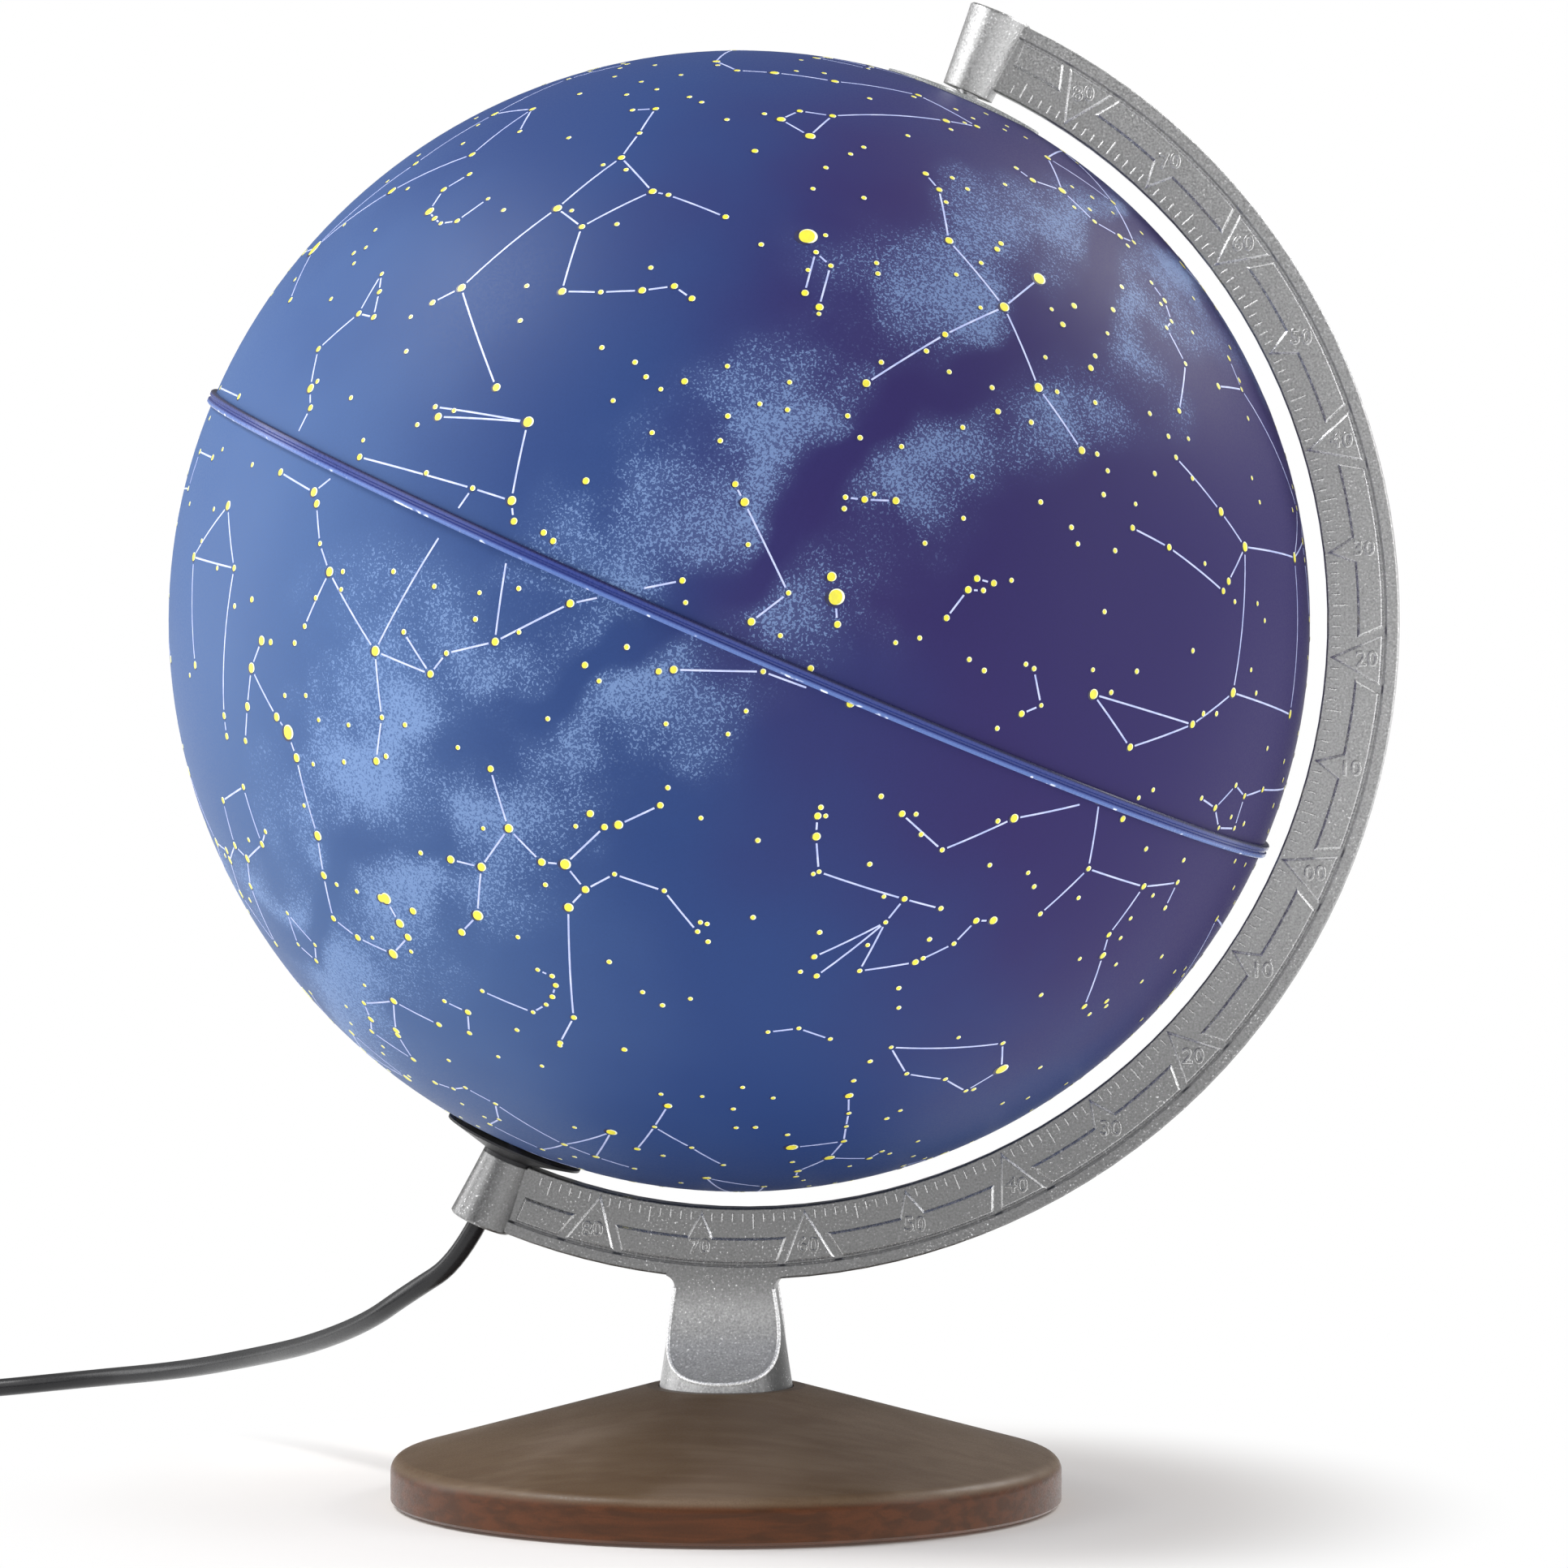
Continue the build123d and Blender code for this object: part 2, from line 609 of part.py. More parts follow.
build_globe()
build_stand()
build_lamp()
build_cord()
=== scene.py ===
import math
import random

import bmesh
import bpy
from mathutils import Matrix, Vector


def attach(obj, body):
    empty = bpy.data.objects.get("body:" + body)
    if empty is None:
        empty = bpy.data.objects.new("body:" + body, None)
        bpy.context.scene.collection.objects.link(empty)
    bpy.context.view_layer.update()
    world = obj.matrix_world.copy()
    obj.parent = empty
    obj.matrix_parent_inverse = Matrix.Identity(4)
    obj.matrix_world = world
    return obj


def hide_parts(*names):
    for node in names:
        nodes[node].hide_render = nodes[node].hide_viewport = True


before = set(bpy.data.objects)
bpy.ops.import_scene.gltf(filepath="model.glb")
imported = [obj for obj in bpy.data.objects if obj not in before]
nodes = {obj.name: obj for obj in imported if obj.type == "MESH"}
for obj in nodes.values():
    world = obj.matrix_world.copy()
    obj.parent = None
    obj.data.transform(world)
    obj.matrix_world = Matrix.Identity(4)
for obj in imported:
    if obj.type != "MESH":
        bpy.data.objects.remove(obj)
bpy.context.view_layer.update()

mm = 0.001
tilt = math.radians(23.5)
globeCentre = Vector((3.5, 0, 232.5)) * mm
axisUp = Vector((math.sin(tilt), 0, math.cos(tilt)))      # towards the north pole
axisAcross = Vector((math.cos(tilt), 0, -math.sin(tilt)))
polarFrame = Matrix((
    (axisAcross.x, 0, axisUp.x, globeCentre.x),
    (axisAcross.y, 1, axisUp.y, globeCentre.y),
    (axisAcross.z, 0, axisUp.z, globeCentre.z),
    (0, 0, 0, 1)))                                        # local Z is the globe's axis
print("frame loaded")


# mesh helpers
def placePiece(piece, body):
    bpy.context.scene.collection.objects.link(piece)
    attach(piece, body)
    return piece


def addPiece(name, verts, faces, body, materials, smooth=True, placed=None, faceSlots=None):
    mesh = bpy.data.meshes.new(name)
    mesh.from_pydata([tuple(v) for v in verts], [], faces)
    if placed is not None:                                # the place goes into the mesh, as in the frame's own pieces
        mesh.transform(placed)
    work = bmesh.new()
    work.from_mesh(mesh)
    bmesh.ops.recalc_face_normals(work, faces=work.faces)
    work.to_mesh(mesh)
    work.free()
    for material in materials:
        mesh.materials.append(material)
    if faceSlots:
        for face, index in zip(mesh.polygons, faceSlots):
            face.material_index = index
    for face in mesh.polygons:
        face.use_smooth = smooth
    return placePiece(bpy.data.objects.new(name, mesh), body)


def addCurve(name, points, radius, rings, body, slotName, material, kind="POLY", **settings):
    curve = bpy.data.curves.new(name, "CURVE")            # a round bar along points in millimetres
    curve.dimensions = "3D"
    spline = curve.splines.new(kind)
    spline.points.add(len(points) - 1)
    for point, spot in zip(spline.points, points):
        point.co = (*(Vector(spot) * mm), 1)
    for key, value in settings.items():
        setattr(spline, key, value)
    curve.bevel_depth = radius * mm
    curve.bevel_resolution = rings
    curve.use_fill_caps = True
    curve.materials.append(material)
    return placePiece(bpy.data.objects.new(name, curve), body)


def sharpen(piece, degrees=30):                           # keeps crisp edges crisp on a smooth piece
    work = bmesh.new()
    work.from_mesh(piece.data)
    for edge in work.edges:
        if len(edge.link_faces) == 2 and edge.calc_face_angle(0) > math.radians(degrees):
            edge.smooth = False
    work.to_mesh(piece.data)
    work.free()


def spin(profile, segments):                              # closed ring of a closed (radius, height) outline
    verts, faces = [], []
    count = len(profile)
    for i in range(segments):
        turn = 2 * math.pi * i / segments
        for r, z in profile:
            verts.append((r * math.cos(turn), r * math.sin(turn), z))
    for i in range(segments):
        j = (i + 1) % segments
        for k in range(count):
            n = (k + 1) % count
            faces.append((i * count + k, j * count + k, j * count + n, i * count + n))
    return verts, faces


def prism(verts, faces, low, high):                       # closed prism between two matching outlines
    start = len(verts)
    count = len(low)
    verts.extend(low)
    verts.extend(high)
    faces.append(tuple(start + i for i in reversed(range(count))))
    faces.append(tuple(start + count + i for i in range(count)))
    for i in range(count):
        j = (i + 1) % count
        faces.append((start + i, start + j, start + count + j, start + count + i))


# shader helpers
class Nodes:                                              # shorthand for one node tree
    def __init__(self, tree):
        self.tree = tree

    def add(self, kind, **settings):
        node = self.tree.nodes.new(kind)
        for key, value in settings.items():
            setattr(node, key, value)
        return node

    def link(self, a, b):
        self.tree.links.new(a, b)

    def math(self, operation, a, b=None, clamp=False):
        node = self.add("ShaderNodeMath", operation=operation, use_clamp=clamp)
        for socket, value in zip(node.inputs, (a, b)):
            self.feed(value, socket)
        return node.outputs[0]

    def feed(self, value, socket):
        if isinstance(value, bpy.types.NodeSocket):
            self.link(value, socket)
        elif value is not None:
            socket.default_value = value

    def ramp(self, value, low, high, lowTo=0.0, highTo=1.0, smooth=True):
        node = self.add("ShaderNodeMapRange", interpolation_type="SMOOTHSTEP" if smooth else "LINEAR")
        for socket, setting in zip(node.inputs, (value, low, high, lowTo, highTo)):
            self.feed(setting, socket)
        return node.outputs["Result"]

    def mix(self, factor, a, b):
        node = self.add("ShaderNodeMix", data_type="RGBA")
        self.feed(factor, node.inputs["Factor"])
        self.feed(a, node.inputs[6])                      # the colour pair of the node's A and B sockets
        self.feed(b, node.inputs[7])
        return node.outputs[2]

    def noise(self, vector, scale, detail, **more):
        node = self.add("ShaderNodeTexNoise")
        self.link(vector, node.inputs["Vector"])
        self.feed(scale, node.inputs["Scale"])
        node.inputs["Detail"].default_value = detail
        for key, value in more.items():
            node.inputs[key].default_value = value
        return node.outputs["Fac"]

    def split(self, vector):
        node = self.add("ShaderNodeSeparateXYZ")
        self.link(vector, node.inputs[0])
        return node.outputs

    def times(self, vector, factor):
        node = self.add("ShaderNodeVectorMath", operation="SCALE")
        self.feed(vector, node.inputs[0])
        self.link(factor, node.inputs["Scale"])
        return node.outputs[0]


def newGroup(name, inputs, outputs):
    group = bpy.data.node_groups.new(name, "ShaderNodeTree")
    for title, kind, value in inputs:
        socket = group.interface.new_socket(name=title, in_out="INPUT", socket_type=kind)
        socket.default_value = value
    for title, kind in outputs:
        group.interface.new_socket(name=title, in_out="OUTPUT", socket_type=kind)
    tools = Nodes(group)
    return group, tools, tools.add("NodeGroupInput"), tools.add("NodeGroupOutput")


def grainGroup():                                         # fine speckle, for castings, plastics and prints
    group, n, given, out = newGroup("surfaceGrain", [
        ("Size", "NodeSocketFloat", 0.0004),
        ("Contrast", "NodeSocketFloat", 0.5)],
        [("Height", "NodeSocketFloat"), ("Tone", "NodeSocketFloat")])
    spot = n.add("ShaderNodeTexCoord").outputs["Object"]
    height = n.noise(spot, n.math("DIVIDE", 1.0, given.outputs["Size"]), 3.0, Roughness=0.6)
    tone = n.math("MULTIPLY", n.math("SUBTRACT", height, 0.5), given.outputs["Contrast"])
    n.link(height, out.inputs["Height"])
    n.link(n.math("ADD", tone, 1.0), out.inputs["Tone"])  # about 1, so that it scales a colour
    return group


def cloudGroup():                                         # broad uneven patches, for stain and wear
    group, n, given, out = newGroup("broadPatches", [
        ("Size", "NodeSocketFloat", 0.03),
        ("Low", "NodeSocketFloat", 0.35),
        ("High", "NodeSocketFloat", 0.65)],
        [("Mask", "NodeSocketFloat")])
    spot = n.add("ShaderNodeTexCoord").outputs["Object"]
    cloud = n.noise(spot, n.math("DIVIDE", 1.0, given.outputs["Size"]), 4.0)
    n.link(n.ramp(cloud, given.outputs["Low"], given.outputs["High"]), out.inputs["Mask"])
    return group


surfaceGrain = grainGroup()
broadPatches = cloudGroup()


def globeSpace(n):                                        # object coordinates turned into the globe's own axes
    turned = n.add("ShaderNodeMapping", vector_type="TEXTURE")
    turned.inputs["Location"].default_value = globeCentre
    turned.inputs["Rotation"].default_value = (0, tilt, 0)
    n.link(n.add("ShaderNodeTexCoord").outputs["Object"], turned.inputs["Vector"])
    return turned.outputs["Vector"]


def useGroup(n, group, **values):
    node = n.add("ShaderNodeGroup", node_tree=group)
    for key, value in values.items():
        node.inputs[key].default_value = value
    return node


def newMaterial(name, **shader):                          # a material with its Principled shader's plain values set
    material = bpy.data.materials.new(name)
    material.use_nodes = True
    n = Nodes(material.node_tree)
    principled = material.node_tree.nodes["Principled BSDF"]
    for key, value in shader.items():
        principled.inputs[key.replace("_", " ")].default_value = value
    return material, n, principled


def grainOf(n, look):
    return useGroup(n, surfaceGrain, Size=look["grain"], Contrast=look["contrast"])


def grainRelief(n, principled, grain, look):              # roughness and bump from the grain that breaks the colour
    if "rough" in look:
        n.link(n.ramp(grain.outputs["Height"], 0.3, 0.7, *look["rough"]), principled.inputs["Roughness"])
    bump = n.add("ShaderNodeBump")
    bump.inputs["Strength"].default_value = look["bump"]
    bump.inputs["Distance"].default_value = look["depth"]
    n.link(grain.outputs["Height"], bump.inputs["Height"])
    n.link(bump.outputs["Normal"], principled.inputs["Normal"])
    return bump


def grainSurface(n, principled, colour, look):
    grain = grainOf(n, look)
    n.link(n.times(colour, grain.outputs["Tone"]), principled.inputs["Base Color"])
    grainRelief(n, principled, grain, look)


plainLook = {"contrast": 0.2, "bump": 0.05, "depth": 0.00005, "patchSize": 0.02, "shader": {}}


def grainyMaterial(name, **settings):                     # one colour broken by grain and by broad patches
    look = {**plainLook, **settings}
    material, n, principled = newMaterial(name, **look["shader"])
    patches = useGroup(n, broadPatches, Size=look["patchSize"])
    grainSurface(n, principled, n.mix(patches.outputs["Mask"], look["colour"], look["patchy"]), look)
    return material


# materials
castLook = {
    "grain": 0.00058, "contrast": 1.5, "bump": 0.4, "depth": 0.00012, "rough": (0.30, 0.44), "rubbedRough": 0.16,
    # the flank grey is painted shade on the neck's right side; the two ring greys paint light, paler up the ring
    "foot": (0.37, 0.37, 0.37, 1), "shadedFlank": (0.05, 0.05, 0.05, 1), "shadedFlankAt": (0.15, 0.85),
    "lower": (0.20, 0.20, 0.20, 1), "upper": (0.42, 0.42, 0.42, 1), "upperAt": (0.075, 0.215),
    "metal": 0.9, "footMetal": 0.30, "footAt": (0.046, 0.062),
    "sparkle": (0.98, 0.98, 0.98, 1), "fleckAt": (0.62, 0.70), "fleckPatch": 0.012, "edgeRadius": 0.0004}


def castMetal(name, rubbed):                              # rubbed: 0 for the faces, more for brighter, smoother edges
    material, n, principled = newMaterial(name)
    height = n.split(n.add("ShaderNodeTexCoord").outputs["Object"])["Z"]
    facing = n.split(n.add("ShaderNodeNewGeometry").outputs["True Normal"])["X"]
    # grey by height: painted light, paler up the ring, and a neck that mirrors less, with painted shade on its right
    # flank
    base = n.mix(n.ramp(height, *castLook["upperAt"]), castLook["lower"], castLook["upper"])
    neck = n.mix(n.ramp(facing, *castLook["shadedFlankAt"]), castLook["foot"], castLook["shadedFlank"])
    base = n.mix(n.ramp(height, *castLook["footAt"]), neck, base)
    base = n.mix(rubbed, base, castLook["sparkle"])
    metal = n.ramp(height, *castLook["footAt"], castLook["footMetal"], castLook["metal"])
    n.link(metal, principled.inputs["Metallic"])
    grain = grainOf(n, castLook)
    patches = useGroup(n, broadPatches, Size=castLook["fleckPatch"])
    fleck = n.math("MULTIPLY", n.ramp(grain.outputs["Height"], *castLook["fleckAt"]), patches.outputs["Mask"])
    flecked = n.mix(fleck, n.times(base, grain.outputs["Tone"]), castLook["sparkle"])
    n.link(flecked, principled.inputs["Base Color"])
    smoother = [value - rubbed * castLook["rubbedRough"] for value in castLook["rough"]]
    relief = {**castLook, "rough": smoother, "bump": castLook["bump"] * (1 - rubbed)}
    bump = grainRelief(n, principled, grain, relief)
    edge = n.add("ShaderNodeBevel", samples=4)
    edge.inputs["Radius"].default_value = castLook["edgeRadius"]
    n.link(edge.outputs["Normal"], bump.inputs["Normal"])
    return material


mapLook = {
    "turn": 13.75,                                        # degrees between right ascension and the casting's marks
    "stretch": (-0.0217, 0.0166, 0.0209)}                 # how far the print's latitudes run off the true ones


def skyDirection(ra, dec):                                # unit vector of the printed sky, in the globe's own axes
    lon = math.radians(ra - mapLook["turn"])
    lat = math.radians(dec)
    lat -= sum(share * math.sin(2 * (i + 1) * lat) for i, share in enumerate(mapLook["stretch"]))
    return Vector((math.cos(lat) * math.cos(lon), math.cos(lat) * math.sin(lon), math.sin(lat)))


printLook = {                                             # Aim: right ascension, declination; At: where a ramp runs
    "deep": (0.023, 0.017, 0.085, 1), "navy": (0.017, 0.039, 0.134, 1), "blue": (0.046, 0.091, 0.214, 1),
    # the blue and deep aims set a printed gradient that also paints light on one side and shade on the other
    "bluePrintAndLightAim": (207, -32), "bluePrintAndLightAt": (0.15, 0.95), "deepPrintAndShadeAim": (346, 30), "deepPrintAndShadeAt": (0.22, 0.76),
    "swirl": (1.9, 3, 0.6), "milky": (0.21, 0.32, 0.55, 1), "poleAim": (192.86, 27.13),
    "bend": (3.4, 2.5, 0.42), "bandAt": (0.06, 0.32), "riftSide": 0.02, "riftAt": (0.015, 0.10),
    "clouds": (5.0, 2.5), "cloudsAt": (0.36, 0.62, 0.15, 1.0),
    "heartAim": (259, -19), "heartAt": (0.955, 0.998), "heartShare": 0.55,
    "stippleSize": 0.0006, "stippleBend": 0.6, "stippleNeeds": (0.66, 0.42), "stippleEdge": (-0.03, 0.06),
    "inkAt": (0.02, 0.30), "ink": 0.42, "glow": 0.20,
    "grain": 0.0005, "contrast": 0.28, "rough": (0.46, 0.58), "bump": 0.12, "depth": 0.00005, "specular": 0.11}


def skyPrint():
    material, n, principled = newMaterial("skyPrint", Specular_IOR_Level=printLook["specular"])
    spot = globeSpace(n)
    aim = n.add("ShaderNodeVectorMath", operation="NORMALIZE")
    n.link(spot, aim.inputs[0])

    def along(aimedAt):
        dot = n.add("ShaderNodeVectorMath", operation="DOT_PRODUCT")
        n.link(aim.outputs[0], dot.inputs[0])
        dot.inputs[1].default_value = skyDirection(*printLook[aimedAt])
        return dot.outputs["Value"]

    def wander(scale, detail, share):                     # soft noise about 0
        noise = n.noise(aim.outputs[0], scale, detail)
        return n.math("MULTIPLY", n.math("SUBTRACT", noise, 0.5), share)

    # the base tone is partly printed and partly painted light: a lighter blue round the region that faces the key light
    # at rest, and deep violet round the far region as painted shade
    swirl = wander(*printLook["swirl"])
    bluerPrintAndLight = n.ramp(n.math("ADD", along("bluePrintAndLightAim"), swirl), *printLook["bluePrintAndLightAt"])
    deeperPrintAndShade = n.ramp(n.math("ADD", along("deepPrintAndShadeAim"), swirl), *printLook["deepPrintAndShadeAt"])
    base = n.mix(deeperPrintAndShade, n.mix(bluerPrintAndLight, printLook["navy"], printLook["blue"]), printLook["deep"])
    # the Milky Way: a stippled band about the galactic plane, torn by broad noise and split by a dark rift
    bent = n.math("ADD", along("poleAim"), wander(*printLook["bend"]))
    band = n.ramp(n.math("ABSOLUTE", bent), *printLook["bandAt"], 1.0, 0.0)
    rift = n.ramp(n.math("ABSOLUTE", n.math("SUBTRACT", bent, printLook["riftSide"])), *printLook["riftAt"])
    clouds = n.ramp(n.noise(aim.outputs[0], *printLook["clouds"]), *printLook["cloudsAt"])
    density = n.math("MULTIPLY", n.math("MULTIPLY", band, rift), clouds)
    heart = n.ramp(along("heartAim"), *printLook["heartAt"])      # brighter towards Sagittarius
    heart = n.math("MULTIPLY", heart, n.math("MULTIPLY", clouds, printLook["heartShare"]))
    density = n.math("ADD", density, heart, clamp=True)
    worms = n.noise(spot, 1 / printLook["stippleSize"], 1.0, Distortion=printLook["stippleBend"])
    needed = n.ramp(density, 0.0, 1.0, *printLook["stippleNeeds"], smooth=False)
    ink = n.ramp(n.math("SUBTRACT", worms, needed), *printLook["stippleEdge"])
    ink = n.math("MULTIPLY", ink, n.ramp(density, *printLook["inkAt"]))
    printed = n.mix(n.math("MULTIPLY", ink, printLook["ink"]), base, printLook["milky"])
    glow = n.mix(n.math("MULTIPLY", density, printLook["glow"]), printed, printLook["milky"])
    grainSurface(n, principled, glow, printLook)
    return material


bandLook = {
    "lips": (0.008, 0.009, 0.050, 1), "rolled": (0.024, 0.038, 0.165, 1), "bead": (0.075, 0.13, 0.34, 1),
    "glint": (0.75, 0.80, 0.95, 1), "rolledAt": (0.0014, 0.0009), "beadAt": (-0.0005, -0.0011),
    "glintAt": (-0.0011, -0.0015), "glintBreakup": (260, 2), "glintBreakupAt": (0.60, 0.68),
    "grain": 0.0006, "contrast": 0.3, "rough": (0.22, 0.36), "bump": 0.15, "depth": 0.00005, "specular": 0.3,
    "segments": 240, "crease": 25}


def bandPlastic():                                        # dark groove lips, and a lighter bead under the joint, with painted glints, white highlights broken up by noise, low on the bead
    material, n, principled = newMaterial("bandPlastic", Specular_IOR_Level=bandLook["specular"])
    spot = globeSpace(n)
    height = n.split(spot)["Z"]
    colour = n.mix(n.ramp(height, *bandLook["rolledAt"]), bandLook["lips"], bandLook["rolled"])
    colour = n.mix(n.ramp(height, *bandLook["beadAt"]), colour, bandLook["bead"])
    # painted glints: white highlights in broken patches low on the bead
    patchy = n.ramp(n.noise(spot, *bandLook["glintBreakup"]), *bandLook["glintBreakupAt"])
    glint = n.math("MULTIPLY", patchy, n.ramp(height, *bandLook["glintAt"]))
    n.link(n.mix(glint, colour, bandLook["glint"]), principled.inputs["Base Color"])
    grainRelief(n, principled, grainOf(n, bandLook), bandLook)
    return material


woodLook = {
    "top": (0.088, 0.055, 0.029, 1), "topPaleAndSheen": (0.160, 0.116, 0.082, 1), "patch": 0.05, "paleAndSheenShare": 0.6,
    "wall": (0.064, 0.020, 0.006, 1), "wallDark": (0.040, 0.014, 0.0045, 1), "wallAt": (0.0095, 0.0117),
    "stretch": (26, 260, 420), "bend": 0.4, "fibreAt": (0.35, 0.65), "fibreShare": 0.22,
    "grain": 0.0005, "contrast": 0.55, "rough": (0.34, 0.50), "bump": 0.18, "depth": 0.0001, "specular": 0.20}


def stainedWood():                                        # straight figure, redder and darker on the wall than on top, whose pale patches are partly uneven stain and partly painted sheen
    material, n, principled = newMaterial("stainedWood", Specular_IOR_Level=woodLook["specular"])
    spot = n.add("ShaderNodeTexCoord").outputs["Object"]
    stretch = n.add("ShaderNodeMapping")
    stretch.inputs["Scale"].default_value = woodLook["stretch"]
    n.link(spot, stretch.inputs["Vector"])
    figure = n.noise(stretch.outputs[0], 1.0, 5, Distortion=woodLook["bend"])
    fibre = n.ramp(figure, *woodLook["fibreAt"])
    patches = useGroup(n, broadPatches, Size=woodLook["patch"])
    # pale patches on top: uneven stain, with painted sheen in their paler, greyer tone
    pale = n.math("MULTIPLY", patches.outputs["Mask"], woodLook["paleAndSheenShare"])
    top = n.mix(pale, woodLook["top"], woodLook["topPaleAndSheen"])
    top = n.mix(n.math("MULTIPLY", fibre, woodLook["fibreShare"]), top, woodLook["wallDark"])
    wall = n.mix(fibre, woodLook["wallDark"], woodLook["wall"])
    onWall = n.ramp(n.split(spot)["Z"], *woodLook["wallAt"], 1.0, 0.0)
    grainSurface(n, principled, n.mix(onWall, top, wall), woodLook)
    return material


feltLook = {
    "colour": (0.018, 0.017, 0.019), "grain": 0.0009, "contrast": 1.2, "bump": 0.8, "depth": 0.0004,
    "shader": {"Roughness": 0.95, "Sheen_Weight": 0.5, "Sheen_Roughness": 0.6}}


def feltCloth():
    material, n, principled = newMaterial("feltCloth", **feltLook["shader"])
    grainSurface(n, principled, feltLook["colour"], feltLook)
    return material


metal = {"Metallic": 1.0}
printed = {"patchSize": 0.002, "rough": (0.4, 0.5), "grain": 0.0004}
plainLooks = {
    "turnedSteel": {
        "colour": (0.52, 0.52, 0.53, 1), "patchy": (0.42, 0.42, 0.42, 1), "rough": (0.22, 0.34), "grain": 0.0005,
        "bump": 0.1, "shader": metal},
    "drawnBrass": {
        "colour": (0.66, 0.48, 0.20, 1), "patchy": (0.50, 0.34, 0.14, 1), "rough": (0.25, 0.4), "grain": 0.0006,
        "bump": 0.1, "shader": metal},
    "capMetal": {
        "colour": (0.60, 0.59, 0.56, 1), "patchy": (0.50, 0.49, 0.46, 1), "rough": (0.28, 0.4), "grain": 0.0005,
        "bump": 0.1, "shader": metal},
    "shellInside": {
        "colour": (0.62, 0.66, 0.74, 1), "patchy": (0.52, 0.57, 0.68, 1), "rough": (0.5, 0.65), "grain": 0.0008,
        "contrast": 0.12, "bump": 0.15, "depth": 0.0001},
    "whiteMoulding": {
        "colour": (0.72, 0.71, 0.67, 1), "patchy": (0.64, 0.62, 0.57, 1), "rough": (0.35, 0.5), "grain": 0.0007,
        "contrast": 0.12, "bump": 0.15, "depth": 0.0001},
    "blackMoulding": {
        "colour": (0.008, 0.008, 0.009, 1), "patchy": (0.016, 0.016, 0.018, 1), "rough": (0.38, 0.52), "grain": 0.0005,
        "contrast": 0.5, "bump": 0.25, "depth": 0.0001, "shader": {"Specular_IOR_Level": 0.3}},
    "cordSheath": {
        "colour": (0.006, 0.006, 0.007, 1), "patchy": (0.012, 0.012, 0.013, 1), "rough": (0.26, 0.34), "grain": 0.0009,
        "contrast": 0.4, "bump": 0.08, "depth": 0.0001, "shader": {"Specular_IOR_Level": 0.24}},
    "blackRubber": {
        "colour": (0.014, 0.014, 0.014, 1), "patchy": (0.022, 0.022, 0.021, 1), "rough": (0.6, 0.75), "grain": 0.0006,
        "contrast": 0.5, "bump": 0.3, "depth": 0.0001},
    "brownWire": {
        "colour": (0.13, 0.05, 0.02, 1), "patchy": (0.09, 0.035, 0.015, 1), "rough": (0.4, 0.5), "grain": 0.0008,
        "bump": 0.1, "depth": 0.0001},
    "clearDisc": {
        "colour": (0.62, 0.63, 0.62, 1), "patchy": (0.50, 0.52, 0.52, 1), "rough": (0.18, 0.32), "grain": 0.0006,
        "contrast": 0.1, "shader": {"Transmission_Weight": 0.55, "IOR": 1.46}},
    "bulbGlass": {
        "colour": (0.95, 0.95, 0.93, 1), "patchy": (0.90, 0.90, 0.88, 1), "rough": (0.12, 0.2), "grain": 0.001,
        "contrast": 0.05, "bump": 0.02, "shader": {"Transmission_Weight": 0.9, "IOR": 1.45}},
    "starYellow": {**printed, "colour": (0.70, 0.62, 0.035, 1), "patchy": (0.60, 0.55, 0.05, 1), "contrast": 0.25},
    "starWhite": {**printed, "colour": (0.78, 0.80, 0.66, 1), "patchy": (0.70, 0.72, 0.50, 1), "contrast": 0.15},
    "starRim": {**printed, "colour": (0.012, 0.012, 0.045, 1), "patchy": (0.02, 0.02, 0.07, 1), "contrast": 0.3},
    "figureInk": {
        **printed, "colour": (0.46, 0.50, 0.74, 1), "patchy": (0.33, 0.38, 0.64, 1), "contrast": 0.5, "grain": 0.0005,
        "patchSize": 0.004}}
finishes = {
    "castMetal": castMetal("castMetal", 0.0), "castEdge": castMetal("castEdge", 0.65), "skyPrint": skyPrint(),
    "bandPlastic": bandPlastic(), "stainedWood": stainedWood(), "feltCloth": feltCloth(),
    **{name: grainyMaterial(name, **look) for name, look in plainLooks.items()}}
nodeFinish = {
    "castMetal": ["meridian", "pivot_cap"], "stainedWood": ["base_disc"], "feltCloth": ["base_felt"],
    "turnedSteel": ["base_washer", "base_bolt", "locating_dowel", "pivot_pin", "pivot_set_screw", "switch_screws",
                    "bulb_filament"],
    "drawnBrass": ["stem_nipple", "stem_nut", "lampholder_shell", "lampholder_contact", "switch_contacts"],
    "capMetal": ["bulb_cap", "plug_pins"], "whiteMoulding": ["north_bush", "south_bush", "lampholder_body"],
    "blackMoulding": ["lampholder_flange", "switch_lower", "switch_upper", "switch_rocker", "plug_body"],
    "blackRubber": ["cord_grommet"], "brownWire": ["lamp_wires"], "clearDisc": ["north_pole_cap"],
    "bulbGlass": ["bulb_glass", "bulb_stem"]}
for finish, names in nodeFinish.items():
    for name in names:
        nodes[name].data.materials.clear()
        nodes[name].data.materials.append(finishes[finish])
print("materials ready:", len(finishes))


# globe: printed shells and the band that joins them
shellLook = {
    "radius": 150.0, "wall": 1.6, "segments": 192, "steps": 48, "edge": 0.8,
    "holes": {"north": 5.5, "south": 17.5}}


def shellProfile(holeRadius):                             # outside up to the pole's hole, then inside back down
    outer, inner = shellLook["radius"], shellLook["radius"] - shellLook["wall"]
    points = []
    for radius, way in ((outer, 1), (inner, -1)):
        low, high = math.asin(shellLook["edge"] / radius), math.acos(holeRadius / radius)
        arc = [low + (high - low) * i / shellLook["steps"] for i in range(shellLook["steps"] + 1)]
        points += [(radius * math.cos(a) * mm, radius * math.sin(a) * mm) for a in arc[::way]]
    return points


